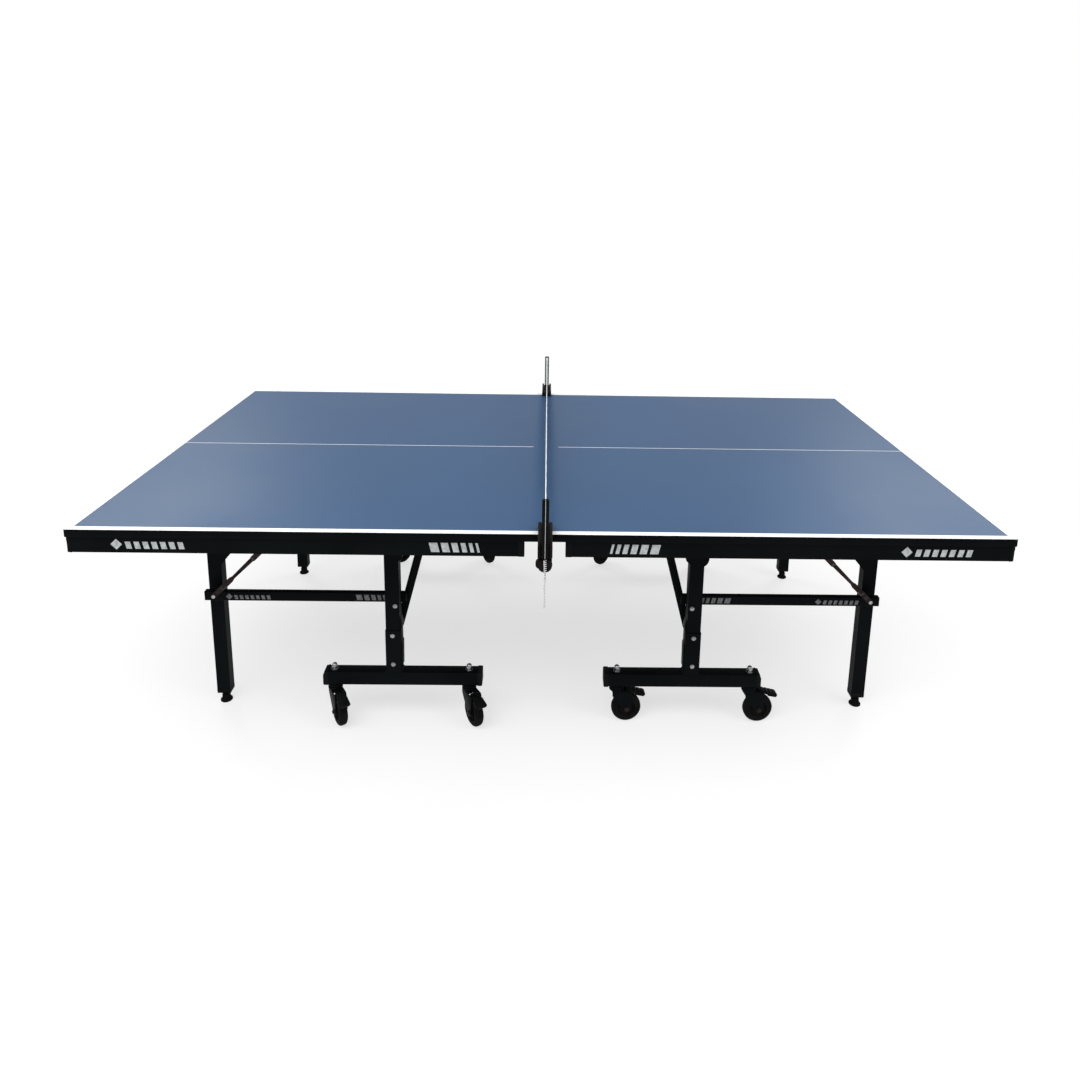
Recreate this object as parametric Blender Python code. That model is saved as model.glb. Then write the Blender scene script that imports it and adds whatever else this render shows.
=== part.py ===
"""Folding table tennis table: two halves that each fold upright on a rolling trolley, and a clamped net.

Metres, +Z up. The origin is on the floor under the middle of the net, +X runs along the table
and the two side lines are at plus and minus Y. Every piece is drawn once, in the quarter where
X and Y are positive, and is then mirrored into the halves and sides where it is used.
"""

import math

import bmesh
import bpy
from mathutils import Matrix, Vector

# ---- Playing surface -------------------------------------------------------------------------
TABLE_LENGTH = 2.740
TABLE_WIDTH = 1.525
TABLE_HEIGHT = 0.760
BOARD_THICKNESS = 0.025

# ---- Frame under each board ------------------------------------------------------------------
APRON_HEIGHT = 0.050
APRON_THICKNESS = 0.020
APRON_SIDE_SETBACK = 0.010
APRON_END_SETBACK = 0.001
APRON_NET_END = 0.061
RAIL_HEIGHT = 0.015
RAIL_WIDTH = 0.040
NET_RAIL_OFFSET = 0.020
FRAME_WALL = 0.002
EAR_THICKNESS = 0.003
EAR_RADIUS = 0.014

# ---- Trolley: T-feet, sleeves and uprights ---------------------------------------------------
UPRIGHT_X = 0.483
UPRIGHT_Y = 0.5425
UPRIGHT_WIDTH = 0.045
UPRIGHT_DEPTH = 0.040
SLEEVE_WALL = 0.002
SLEEVE_CLEARANCE = 0.0005
SLEEVE_HEIGHT = 0.149
CASTER_HEAD_ROOM = 0.037
FOOT_HEIGHT = 0.045
FOOT_INNER_END = 0.201
FOOT_OUTER_END = 0.709
TUBE_WALL = 0.002
TIE_HEIGHT = 0.050
TIE_THICKNESS = 0.0125
TIE_DROP = 0.040
GUSSET_DROP = 0.125

# ---- Fold linkage ----------------------------------------------------------------------------
PIVOT_DROP = 0.043
LEG_X = 1.075
LEG_PIVOT_X = 1.064
LEG_Y = 0.452
LEG_WIDTH = 0.044
LEG_DEPTH = 0.036
LEG_TIE_DROP = 0.085
LEG_TIE_SIZE = 0.030
LINK_DROP = 0.272
LINK_HEIGHT = 0.032
LINK_DEPTH = 0.020
LINK_GAP = 0.002
LINK_END = 0.028
LINK_NET_END = 0.035
STRUT_WIDTH = 0.022
STRUT_DEPTH = 0.016
STRUT_GAP = 0.003
STRUT_TOP_X = 0.3725
STRUT_FOOT_X = 0.473
STRUT_FOOT_Z = 0.312
STAY_WIDTH_LOWER = 0.017
STAY_WIDTH_UPPER = 0.018
STAY_THICKNESS = 0.003
STAY_GAP = 0.0015
GUSSET_LOW_Z = 0.506
GUSSET_REACH = 0.060
GUSSET_OUTER_RISE = 0.072
GUSSET_STEP = 0.010
PIN_RADIUS = 0.006
PIN_CLEARANCE = 0.0006
PLATE_GAP = 0.0008

# ---- Levelling feet --------------------------------------------------------------------------
LEVEL_FOOT_RADIUS = 0.0195
LEVEL_FOOT_HEIGHT = 0.030
LEVEL_FOOT_FREE = 0.006
LEVEL_SCREW_RADIUS = 0.005
LEVEL_SCREW_LENGTH = 0.045
LEG_PLUG = 0.012

# ---- Casters ---------------------------------------------------------------------------------
CASTER_INNER_X = 0.2415
CASTER_OUTER_X = 0.6785
CASTER_TRAIL = 0.034
WHEEL_RADIUS = 0.049
WHEEL_WIDTH = 0.028
WHEEL_BORE = 0.0056
HUB_RADIUS = 0.014
RIM_DEPTH = 0.012
DISH_DEPTH = 0.006
TREAD_BEVEL = 0.005
AXLE_RADIUS = 0.005
FORK_PLATE = 0.003
FORK_SIDE_GAP = 0.0025
FORK_HEAD_RADIUS = 0.023
FORK_CROWN = 0.012
WHEEL_CROWN_GAP = 0.004
CROWN_BACK = 0.012
CROWN_FRONT = 0.022
FORK_BACK = 0.014
FORK_SKIRT = 0.010
AXLE_BOSS = 0.013
FORK_NOSE = 0.009
FORK_NOSE_TOP = 0.006
SWIVEL_GAP = 0.001
STEM_RADIUS = 0.006
NUT_RADIUS = 0.010
NUT_HEIGHT = 0.013
PEDAL_HINGE = 0.040
PEDAL_LENGTH = 0.052
PEDAL_THICKNESS = 0.005
PEDAL_DROP = 0.012
PEDAL_HEEL = 0.006
PEDAL_PLATFORM = 0.012
PEDAL_LIP = 0.003
PEDAL_PIN_RADIUS = 0.003
LEFT_HEADINGS = {"near": (-58.0, -58.0), "far": (121.0, 47.0)}
RIGHT_HEADINGS = {"near": (4.0, 4.0), "far": (47.0, -8.0)}

# ---- Net -------------------------------------------------------------------------------------
NET_HEIGHT = 0.1525
NET_THICKNESS = 0.0016
NET_LIFT = 0.004
NET_TOP_DROP = 0.004
POST_OVERHANG = 0.1125
POST_WIDTH = 0.019
POST_DEPTH = 0.012
CLAMP_WIDTH = 0.042
CLAMP_REACH = 0.045
CLAMP_ARM = 0.018
CLAMP_GAP = 0.001
CLAMP_BLOCK_DROP = 0.018
JAW_WIDTH = 0.040
JAW_KNOB_RADIUS = 0.021
JAW_KNOB_LENGTH = 0.024
JAW_KNOB_SETBACK = 0.005
JAW_SWING_GAP = 0.004
CHAIN_DIAMETER = 0.003
CHAIN_TOP_DROP = 0.0385
CHAIN_ROUTE = (
    (0.0000, 0.0000, 0.0000),
    (0.0002, 0.0002, -0.0100),
    (0.0006, 0.0006, -0.0220),
    (0.0010, 0.0009, -0.0340),
    (0.0012, 0.0010, -0.0460),
    (0.0010, 0.0008, -0.0580),
    (0.0006, 0.0004, -0.0700),
    (0.0003, 0.0001, -0.0820),
    (0.0002, -0.0001, -0.0940),
    (0.0004, -0.0002, -0.1060),
    (0.0007, -0.0001, -0.1180),
    (0.0008, 0.0001, -0.1290),
    (0.0006, 0.0003, -0.1390),
)

# ---- Clearances and roundness ----------------------------------------------------------------
TOUCH_GAP = 0.0004
SPLIT_CLEARANCE = 0.0006
WELD_OVERLAP = 0.001
CUT_OVERSHOOT = 0.01
PIN_SEGMENTS = 12
NUT_SIDES = 6
WHEEL_SEGMENTS = 20
ROUND_SEGMENTS = 16

# ---- Worked out from the sizes above ---------------------------------------------------------
HALF_LENGTH = TABLE_LENGTH / 2
HALF_WIDTH = TABLE_WIDTH / 2
BOARD_BOTTOM = TABLE_HEIGHT - BOARD_THICKNESS
FRAME_TOP = BOARD_BOTTOM - TOUCH_GAP
RAIL_BOTTOM = FRAME_TOP - RAIL_HEIGHT
PIVOT_Z = BOARD_BOTTOM - PIVOT_DROP
LINK_Z = PIVOT_Z - LINK_DROP
# The board's upper net edge swings on a circle about the fold pivot, and must stop short of the middle.
SWING_REACH = UPRIGHT_X - SPLIT_CLEARANCE
SWING_RISE = TABLE_HEIGHT - PIVOT_Z
BOARD_NET_END = UPRIGHT_X - math.sqrt(SWING_REACH**2 - SWING_RISE**2)
APRON_OUTER_Y = HALF_WIDTH - APRON_SIDE_SETBACK
APRON_INNER_Y = APRON_OUTER_Y - APRON_THICKNESS
APRON_OUTER_X = HALF_LENGTH - APRON_END_SETBACK
APRON_INNER_X = APRON_OUTER_X - APRON_THICKNESS
FOOT_BOTTOM = 2 * WHEEL_RADIUS + CASTER_HEAD_ROOM
FOOT_TOP = FOOT_BOTTOM + FOOT_HEIGHT
SLEEVE_TOP = FOOT_TOP + SLEEVE_HEIGHT
FOOT_DEPTH = UPRIGHT_DEPTH + 2 * (SLEEVE_CLEARANCE + SLEEVE_WALL)
FOOT_INNER_Y = UPRIGHT_Y - FOOT_DEPTH / 2
FOOT_OUTER_Y = UPRIGHT_Y + FOOT_DEPTH / 2
UPRIGHT_INNER_Y = UPRIGHT_Y - UPRIGHT_DEPTH / 2
UPRIGHT_OUTER_Y = UPRIGHT_Y + UPRIGHT_DEPTH / 2
UPRIGHT_NET_FACE = UPRIGHT_X - UPRIGHT_WIDTH / 2
LINK_OUTER_Y = FOOT_INNER_Y - LINK_GAP
LINK_INNER_Y = LINK_OUTER_Y - LINK_DEPTH
STRUT_OUTER_Y = LINK_INNER_Y - STRUT_GAP
STRUT_INNER_Y = STRUT_OUTER_Y - STRUT_DEPTH
LEG_OUTER_Y = LEG_Y + LEG_DEPTH / 2
LEG_INNER_Y = LEG_Y - LEG_DEPTH / 2
STAY_LOWER_Y = LINK_OUTER_Y + STAY_GAP
STAY_UPPER_Y = STAY_LOWER_Y + STAY_THICKNESS + STAY_GAP
STAY_EAR_Y = STAY_UPPER_Y + STAY_THICKNESS + STAY_GAP
STAY_TOP_X = LEG_PIVOT_X - LINK_DROP
STAY_KNEE_X = (LEG_PIVOT_X + STAY_TOP_X) / 2
STAY_KNEE_Z = (PIVOT_Z + LINK_Z) / 2
LEG_BOTTOM = LEVEL_FOOT_HEIGHT + LEVEL_FOOT_FREE
FORK_INNER = WHEEL_WIDTH / 2 + FORK_SIDE_GAP
FORK_TOP = FOOT_BOTTOM - SWIVEL_GAP
CROWN_BOTTOM = 2 * WHEEL_RADIUS + WHEEL_CROWN_GAP
PEDAL_Z = CROWN_BOTTOM + PEDAL_THICKNESS + PEDAL_PIN_RADIUS
POST_Y = HALF_WIDTH + POST_OVERHANG
CLAMP_TOP = TABLE_HEIGHT + CLAMP_GAP + CLAMP_ARM
CLAMP_BOTTOM = TABLE_HEIGHT - CLAMP_BLOCK_DROP
CLAMP_INNER_Y = HALF_WIDTH + CLAMP_GAP
JAW_TOP = CLAMP_BOTTOM - JAW_SWING_GAP
JAW_PIVOT_Y = POST_Y + POST_DEPTH / 2 - JAW_KNOB_SETBACK - JAW_KNOB_LENGTH / 2
JAW_PIVOT_Z = JAW_TOP - JAW_KNOB_RADIUS

FRAME_BLACK = ("frame_black", (0.012, 0.014, 0.016), 0.42, 0.2)
BOARD_BLUE = ("board_blue", (0.105, 0.190, 0.310), 0.55, 0.0)
STAY_BROWN = ("stay_brown", (0.030, 0.022, 0.022), 0.45, 0.4)
WHEEL_BLACK = ("wheel_black", (0.016, 0.016, 0.017), 0.60, 0.0)
PLASTIC_BLACK = ("plastic_black", (0.014, 0.015, 0.016), 0.50, 0.0)
NET_BLACK = ("net_black", (0.020, 0.020, 0.022), 0.80, 0.0)
CHAIN_WHITE = ("chain_white", (0.700, 0.710, 0.720), 0.40, 0.2)


def material(finish):
    """The Principled material of one finish, made once."""
    name, colour, roughness, metallic = finish
    found = bpy.data.materials.get(name)
    if found is None:
        found = bpy.data.materials.new(name)
        found.use_nodes = True
        shader = found.node_tree.nodes["Principled BSDF"]
        shader.inputs["Base Color"].default_value = (*colour, 1.0)
        shader.inputs["Roughness"].default_value = roughness
        shader.inputs["Metallic"].default_value = metallic
    return found


# ---- Shape helpers: each returns a mesh object in the positive quarter -------------------------
def solid(bm):
    """A new object from a bmesh, with its faces turned outwards."""
    bmesh.ops.recalc_face_normals(bm, faces=bm.faces)
    mesh = bpy.data.meshes.new("shape")
    bm.to_mesh(mesh)
    bm.free()
    obj = bpy.data.objects.new("shape", mesh)
    bpy.context.scene.collection.objects.link(obj)
    return obj


def block(x0, x1, y0, y1, z0, z1):
    """A box between two corners."""
    bm = bmesh.new()
    bmesh.ops.create_cube(bm, size=1.0)
    for vert in bm.verts:
        vert.co.x = x0 if vert.co.x < 0 else x1
        vert.co.y = y0 if vert.co.y < 0 else y1
        vert.co.z = z0 if vert.co.z < 0 else z1
    return solid(bm)


def plate(outline, y0, y1):
    """An outline of (x, z) points extruded from y0 to y1."""
    bm = bmesh.new()
    face = bm.faces.new([bm.verts.new((x, y0, z)) for x, z in outline])
    grown = bmesh.ops.extrude_face_region(bm, geom=[face])["geom"]
    moved = [item for item in grown if isinstance(item, bmesh.types.BMVert)]
    bmesh.ops.translate(bm, verts=moved, vec=(0, y1 - y0, 0))
    return solid(bm)


def drum(radius, start, end, segments):
    """A round bar from one point to another."""
    start, end = Vector(start), Vector(end)
    along = end - start
    turn = along.to_track_quat("Z", "Y").to_matrix().to_4x4()
    bm = bmesh.new()
    bmesh.ops.create_cone(
        bm,
        cap_ends=True,
        segments=segments,
        radius1=radius,
        radius2=radius,
        depth=along.length,
        matrix=Matrix.Translation((start + end) / 2) @ turn,
    )
    return solid(bm)


def turned(profile, segments):
    """A closed (radius, y) profile turned about the Y axis."""
    bm = bmesh.new()
    rings = []
    for step in range(segments):
        angle = 2 * math.pi * step / segments
        rings.append([bm.verts.new((r * math.cos(angle), y, r * math.sin(angle))) for r, y in profile])
    for step, ring in enumerate(rings):
        following = rings[(step + 1) % segments]
        for i in range(len(profile)):
            j = (i + 1) % len(profile)
            bm.faces.new((ring[i], ring[j], following[j], following[i]))
    return solid(bm)


def combine(first, second, operation):
    """First joined to, or cut by, second. Second is used up."""
    modifier = first.modifiers.new("combine", "BOOLEAN")
    modifier.operation = operation
    modifier.solver = "EXACT"
    modifier.object = second
    bpy.context.view_layer.update()
    graph = bpy.context.evaluated_depsgraph_get()
    mesh = bpy.data.meshes.new_from_object(first.evaluated_get(graph))
    first.modifiers.clear()
    first.data = mesh
    bpy.data.objects.remove(second)
    return first


def joined(first, *others):
    for other in others:
        first = combine(first, other, "UNION")
    return first


def cut(first, *cutters):
    for cutter in cutters:
        first = combine(first, cutter, "DIFFERENCE")
    return first


def both_sides(make):
    """The shape that make gives, mirrored to the near and the far side, as a list."""
    return [mirror(make(), 1, side) for side in (-1, 1)]


def mirror(obj, side_x, side_y):
    """Turns the mesh into another quarter, keeping its faces outwards."""
    obj.data.transform(Matrix.Diagonal((side_x, side_y, 1, 1)))
    if side_x * side_y < 0:
        obj.data.flip_normals()
    return obj


def bar_outline(start, end, width, cap_segments=6):
    """The outline of a flat bar with round ends between two (x, z) points."""
    start, end = Vector(start), Vector(end)
    along = math.atan2(end.y - start.y, end.x - start.x)
    points = []
    for centre, first in ((end, along - math.pi / 2), (start, along + math.pi / 2)):
        for step in range(cap_segments + 1):
            angle = first + math.pi * step / cap_segments
            points.append((centre.x + width / 2 * math.cos(angle), centre.y + width / 2 * math.sin(angle)))
    return points


def place(obj, name, finish, pivot, parent=None, turn=0.0):
    """Names the piece, moves its origin to its pivot and hangs it on its parent."""
    obj.name = name
    obj.data.name = name
    obj.data.transform(Matrix.Translation(-Vector(pivot)))
    obj.location = pivot
    obj.rotation_euler = (0, 0, turn)
    obj.data.materials.clear()
    obj.data.materials.append(material(finish))
    obj.data.shade_smooth()
    obj.data.set_sharp_from_angle(angle=math.radians(30))
    bpy.context.view_layer.update()
    if parent is not None:
        obj.parent = parent
        obj.matrix_parent_inverse = parent.matrix_world.inverted()
    return obj


def pin_hole(x, z, y0, y1):
    """A cutter for a hole along Y that a pivot pin turns in."""
    radius = PIN_RADIUS + PIN_CLEARANCE
    return drum(radius, (x, y0 - CUT_OVERSHOOT, z), (x, y1 + CUT_OVERSHOOT, z), PIN_SEGMENTS)


def pin(x, z, y0, y1):
    return drum(PIN_RADIUS, (x, y0, z), (x, y1, z), PIN_SEGMENTS)


# ---- The pieces --------------------------------------------------------------------------------
def board():
    return block(BOARD_NET_END, HALF_LENGTH, -HALF_WIDTH, HALF_WIDTH, BOARD_BOTTOM, TABLE_HEIGHT)


def rail_centres():
    """Where the cross rails run: at the net, the strut, the fold pivot, the stay and the leg."""
    return (
        APRON_NET_END + NET_RAIL_OFFSET + RAIL_WIDTH / 2,
        STRUT_TOP_X - EAR_RADIUS - RAIL_WIDTH / 2,
        UPRIGHT_X + UPRIGHT_WIDTH / 2 + RAIL_WIDTH / 2,
        STAY_TOP_X,
        LEG_X,
    )


def hanging_ear(x, rail_x, y0):
    """A plate from a cross rail down to a pivot, rounded about the pivot."""
    top = RAIL_BOTTOM + WELD_OVERLAP
    low = PIVOT_Z - EAR_RADIUS
    near, far = min(x, rail_x) - EAR_RADIUS, max(x, rail_x) + EAR_RADIUS
    outline = [(far, top), (near, top), (near, PIVOT_Z)]
    for step in range(1, 6):
        angle = math.pi + math.pi / 2 * step / 6
        outline.append((near + EAR_RADIUS * (1 + math.cos(angle)), PIVOT_Z + EAR_RADIUS * math.sin(angle)))
    outline += [(near + EAR_RADIUS, low), (far - EAR_RADIUS, low)]
    for step in range(1, 6):
        angle = -math.pi / 2 + math.pi / 2 * step / 6
        outline.append((far - EAR_RADIUS * (1 - math.cos(angle)), PIVOT_Z + EAR_RADIUS * math.sin(angle)))
    outline.append((far, PIVOT_Z))
    return plate(outline, y0, y0 + EAR_THICKNESS)


def leg_gusset():
    """The triangular bracket beside the leg's top."""
    outer = LEG_X + LEG_WIDTH / 2
    inner = LEG_X - LEG_WIDTH / 2 - GUSSET_REACH
    outline = [
        (outer, RAIL_BOTTOM + WELD_OVERLAP),
        (inner, RAIL_BOTTOM + WELD_OVERLAP),
        (inner, GUSSET_LOW_Z + GUSSET_OUTER_RISE),
        (LEG_X - LEG_WIDTH / 2, GUSSET_LOW_Z),
        (LEG_X, GUSSET_LOW_Z + GUSSET_STEP),
        (outer, PIVOT_Z - LEG_TIE_DROP / 2),
    ]
    y0 = LEG_OUTER_Y + PLATE_GAP
    return plate(outline, y0, y0 + EAR_THICKNESS)


def apron_frame():
    """Side and end aprons with cross rails, hollow right through, and the pivot ears and pins."""
    wall = FRAME_WALL
    low = FRAME_TOP - APRON_HEIGHT
    frame = block(APRON_INNER_X, APRON_OUTER_X, -APRON_OUTER_Y, APRON_OUTER_Y, low, FRAME_TOP)
    hollow = block(
        APRON_INNER_X + wall,
        APRON_OUTER_X - wall,
        -APRON_OUTER_Y + wall,
        APRON_OUTER_Y - wall,
        FRAME_TOP - APRON_HEIGHT + wall,
        FRAME_TOP - wall,
    )
    for side in (-1, 1):
        low, high = sorted((side * APRON_INNER_Y, side * APRON_OUTER_Y))
        frame = joined(
            frame,
            block(APRON_NET_END, APRON_INNER_X + wall, low, high, FRAME_TOP - APRON_HEIGHT, FRAME_TOP),
        )
        hollow = joined(
            hollow,
            block(
                APRON_NET_END - CUT_OVERSHOOT,
                APRON_INNER_X + 2 * wall,
                low + wall,
                high - wall,
                FRAME_TOP - APRON_HEIGHT + wall,
                FRAME_TOP - wall,
            ),
        )
    for x in rail_centres():
        reach = APRON_INNER_Y + wall / 2
        rail = block(x - RAIL_WIDTH / 2, x + RAIL_WIDTH / 2, -reach, reach, RAIL_BOTTOM, FRAME_TOP)
        frame = joined(frame, rail)
        reach = APRON_INNER_Y + 2 * wall
        hollow = joined(
            hollow,
            block(
                x - RAIL_WIDTH / 2 + wall,
                x + RAIL_WIDTH / 2 - wall,
                -reach,
                reach,
                RAIL_BOTTOM + wall,
                FRAME_TOP - wall,
            ),
        )
    frame = cut(frame, hollow)
    _, strut_rail, fold_rail, stay_rail, leg_rail = rail_centres()
    strut_ear_y = STRUT_INNER_Y - PLATE_GAP * 3 - EAR_THICKNESS
    fold_ear_y = FOOT_OUTER_Y + PLATE_GAP
    leg_ear_y = LEG_INNER_Y - PLATE_GAP - EAR_THICKNESS
    extras = [
        lambda: hanging_ear(STRUT_TOP_X, strut_rail, strut_ear_y),
        lambda: pin(STRUT_TOP_X, PIVOT_Z, strut_ear_y + WELD_OVERLAP, STRUT_OUTER_Y),
        lambda: hanging_ear(UPRIGHT_X, fold_rail, fold_ear_y),
        lambda: pin(UPRIGHT_X, PIVOT_Z, UPRIGHT_INNER_Y, fold_ear_y + WELD_OVERLAP),
        lambda: hanging_ear(STAY_TOP_X, stay_rail, STAY_EAR_Y),
        lambda: pin(STAY_TOP_X, PIVOT_Z, STAY_UPPER_Y, STAY_EAR_Y + WELD_OVERLAP),
        lambda: hanging_ear(LEG_PIVOT_X, leg_rail, leg_ear_y),
        leg_gusset,
        lambda: pin(LEG_PIVOT_X, PIVOT_Z, leg_ear_y + WELD_OVERLAP, LEG_OUTER_Y + PLATE_GAP + WELD_OVERLAP),
    ]
    for make in extras:
        frame = joined(frame, *both_sides(make))
    return frame


def round_top_tube(x, width, y0, y1, bottom, wall):
    """An upright tube whose top is rounded about the pivot axis, as (outside, hollow)."""
    outside = []
    for radius, low in ((width / 2, bottom), (width / 2 - wall, bottom - CUT_OVERSHOOT)):
        points = [(x - radius, low), (x + radius, low)]
        for step in range(9):
            angle = math.pi * step / 8
            points.append((x + radius * math.cos(angle), PIVOT_Z + radius * math.sin(angle)))
        outside.append(points)
    return plate(outside[0], y0, y1), plate(outside[1], y0 + wall, y1 - wall)


def trolley_frame():
    """Both uprights, the flat tie between them and the pins that the link bars turn on."""

    def upright():
        bottom = FOOT_TOP + SLEEVE_CLEARANCE
        tube, hollow = round_top_tube(
            UPRIGHT_X, UPRIGHT_WIDTH, UPRIGHT_INNER_Y, UPRIGHT_OUTER_Y, bottom, TUBE_WALL
        )
        tube = cut(tube, hollow, pin_hole(UPRIGHT_X, PIVOT_Z, UPRIGHT_INNER_Y, UPRIGHT_OUTER_Y))
        face = UPRIGHT_NET_FACE
        low = PIVOT_Z - GUSSET_DROP
        outline = [(face + WELD_OVERLAP, low), (face + WELD_OVERLAP, PIVOT_Z - TIE_DROP)]
        outline += [(face - TIE_THICKNESS, PIVOT_Z - TIE_DROP), (face - TIE_THICKNESS, low + TIE_THICKNESS)]
        gusset = plate(outline, UPRIGHT_INNER_Y, UPRIGHT_OUTER_Y)
        pivot = pin(UPRIGHT_X, LINK_Z, LINK_INNER_Y, UPRIGHT_INNER_Y + WELD_OVERLAP)
        return joined(tube, gusset, pivot)

    face = UPRIGHT_NET_FACE
    top = PIVOT_Z - TIE_DROP
    reach = UPRIGHT_INNER_Y + WELD_OVERLAP
    tie = block(face - TIE_THICKNESS, face - WELD_OVERLAP, -reach, reach, top - TIE_HEIGHT, top)
    return joined(tie, *both_sides(upright))


def t_foot():
    """One T-foot: the floor tube, the sleeve for the upright, and the caster stems with their nuts."""
    tube = block(FOOT_INNER_END, FOOT_OUTER_END, FOOT_INNER_Y, FOOT_OUTER_Y, FOOT_BOTTOM, FOOT_TOP)
    half_width = UPRIGHT_WIDTH / 2 + SLEEVE_CLEARANCE
    half_depth = UPRIGHT_DEPTH / 2 + SLEEVE_CLEARANCE
    sleeve = block(
        UPRIGHT_X - half_width - SLEEVE_WALL,
        UPRIGHT_X + half_width + SLEEVE_WALL,
        UPRIGHT_Y - half_depth - SLEEVE_WALL,
        UPRIGHT_Y + half_depth + SLEEVE_WALL,
        FOOT_TOP - TUBE_WALL,
        SLEEVE_TOP,
    )
    socket = block(
        UPRIGHT_X - half_width,
        UPRIGHT_X + half_width,
        UPRIGHT_Y - half_depth,
        UPRIGHT_Y + half_depth,
        FOOT_TOP,
        SLEEVE_TOP + CUT_OVERSHOOT,
    )
    hollow = block(
        FOOT_INNER_END - CUT_OVERSHOOT,
        FOOT_OUTER_END + CUT_OVERSHOOT,
        FOOT_INNER_Y + TUBE_WALL,
        FOOT_OUTER_Y - TUBE_WALL,
        FOOT_BOTTOM + TUBE_WALL,
        FOOT_TOP - TUBE_WALL,
    )
    foot = cut(joined(tube, sleeve), socket, hollow)
    for x in (CASTER_INNER_X, CASTER_OUTER_X):
        low, high = (x, UPRIGHT_Y, CROWN_BOTTOM + SWIVEL_GAP), (x, UPRIGHT_Y, FOOT_TOP + WELD_OVERLAP)
        stem = drum(STEM_RADIUS, low, high, PIN_SEGMENTS)
        low, high = (x, UPRIGHT_Y, FOOT_TOP - WELD_OVERLAP), (x, UPRIGHT_Y, FOOT_TOP + NUT_HEIGHT)
        nut = drum(NUT_RADIUS, low, high, NUT_SIDES)
        foot = joined(foot, stem, nut)
    return foot


def leg_frame():
    """Both outer legs, the tube that ties them, and the pins that the link bars and stays turn on."""

    def leg():
        tube, hollow = round_top_tube(LEG_X, LEG_WIDTH, LEG_INNER_Y, LEG_OUTER_Y, LEG_BOTTOM, TUBE_WALL)
        plug = block(
            LEG_X - LEG_WIDTH / 2 + WELD_OVERLAP,
            LEG_X + LEG_WIDTH / 2 - WELD_OVERLAP,
            LEG_INNER_Y + WELD_OVERLAP,
            LEG_OUTER_Y - WELD_OVERLAP,
            LEG_BOTTOM,
            LEG_BOTTOM + LEG_PLUG,
        )
        screw = drum(
            LEVEL_SCREW_RADIUS + PIN_CLEARANCE,
            (LEG_X, LEG_Y, LEG_BOTTOM - CUT_OVERSHOOT),
            (LEG_X, LEG_Y, LEG_BOTTOM + LEG_PLUG + CUT_OVERSHOOT),
            PIN_SEGMENTS,
        )
        tube = cut(tube, hollow, pin_hole(LEG_PIVOT_X, PIVOT_Z, LEG_INNER_Y, LEG_OUTER_Y))
        tube = cut(joined(tube, plug), screw)
        pivot = pin(LEG_PIVOT_X, LINK_Z, LEG_OUTER_Y - WELD_OVERLAP, STAY_LOWER_Y + STAY_THICKNESS)
        return joined(tube, pivot)

    z = PIVOT_Z - LEG_TIE_DROP
    half = LEG_TIE_SIZE / 2
    reach = LEG_INNER_Y + WELD_OVERLAP
    tie = block(LEG_X - half, LEG_X + half, -reach, reach, z - half, z + half)
    return joined(tie, *both_sides(leg))


def levelling_foot():
    foot = drum(LEVEL_FOOT_RADIUS, (LEG_X, LEG_Y, 0), (LEG_X, LEG_Y, LEVEL_FOOT_HEIGHT), ROUND_SEGMENTS)
    screw = drum(
        LEVEL_SCREW_RADIUS,
        (LEG_X, LEG_Y, LEVEL_FOOT_HEIGHT - WELD_OVERLAP),
        (LEG_X, LEG_Y, LEVEL_FOOT_HEIGHT + LEVEL_SCREW_LENGTH),
        PIN_SEGMENTS,
    )
    return joined(foot, screw)


def link_bar():
    """The bar between upright and leg, a square tube open at both ends."""
    start, end = UPRIGHT_X - LINK_NET_END, LEG_PIVOT_X + LINK_END
    half = LINK_HEIGHT / 2
    bar = block(start, end, LINK_INNER_Y, LINK_OUTER_Y, LINK_Z - half, LINK_Z + half)
    hollow = block(
        start - CUT_OVERSHOOT,
        end + CUT_OVERSHOOT,
        LINK_INNER_Y + TUBE_WALL,
        LINK_OUTER_Y - TUBE_WALL,
        LINK_Z - half + TUBE_WALL,
        LINK_Z + half - TUBE_WALL,
    )
    holes = [pin_hole(x, LINK_Z, LINK_INNER_Y, LINK_OUTER_Y) for x in (UPRIGHT_X, LEG_PIVOT_X)]
    return cut(bar, hollow, *holes)


def strut():
    """The brace from the upright's sleeve to the frame on the net side."""
    outline = bar_outline((STRUT_FOOT_X, STRUT_FOOT_Z), (STRUT_TOP_X, PIVOT_Z), STRUT_WIDTH)
    hole = pin_hole(STRUT_TOP_X, PIVOT_Z, STRUT_INNER_Y, STRUT_OUTER_Y)
    return cut(plate(outline, STRUT_INNER_Y, STRUT_OUTER_Y), hole)


def stay_lower():
    outline = bar_outline((LEG_PIVOT_X, LINK_Z), (STAY_KNEE_X, STAY_KNEE_Z), STAY_WIDTH_LOWER)
    y0, y1 = STAY_LOWER_Y, STAY_LOWER_Y + STAY_THICKNESS
    return cut(plate(outline, y0, y1), pin_hole(LEG_PIVOT_X, LINK_Z, y0, y1))


def stay_upper():
    outline = bar_outline((STAY_KNEE_X, STAY_KNEE_Z), (STAY_TOP_X, PIVOT_Z), STAY_WIDTH_UPPER)
    y0, y1 = STAY_UPPER_Y, STAY_UPPER_Y + STAY_THICKNESS
    return cut(plate(outline, y0, y1), pin_hole(STAY_TOP_X, PIVOT_Z, y0, y1))


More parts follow.
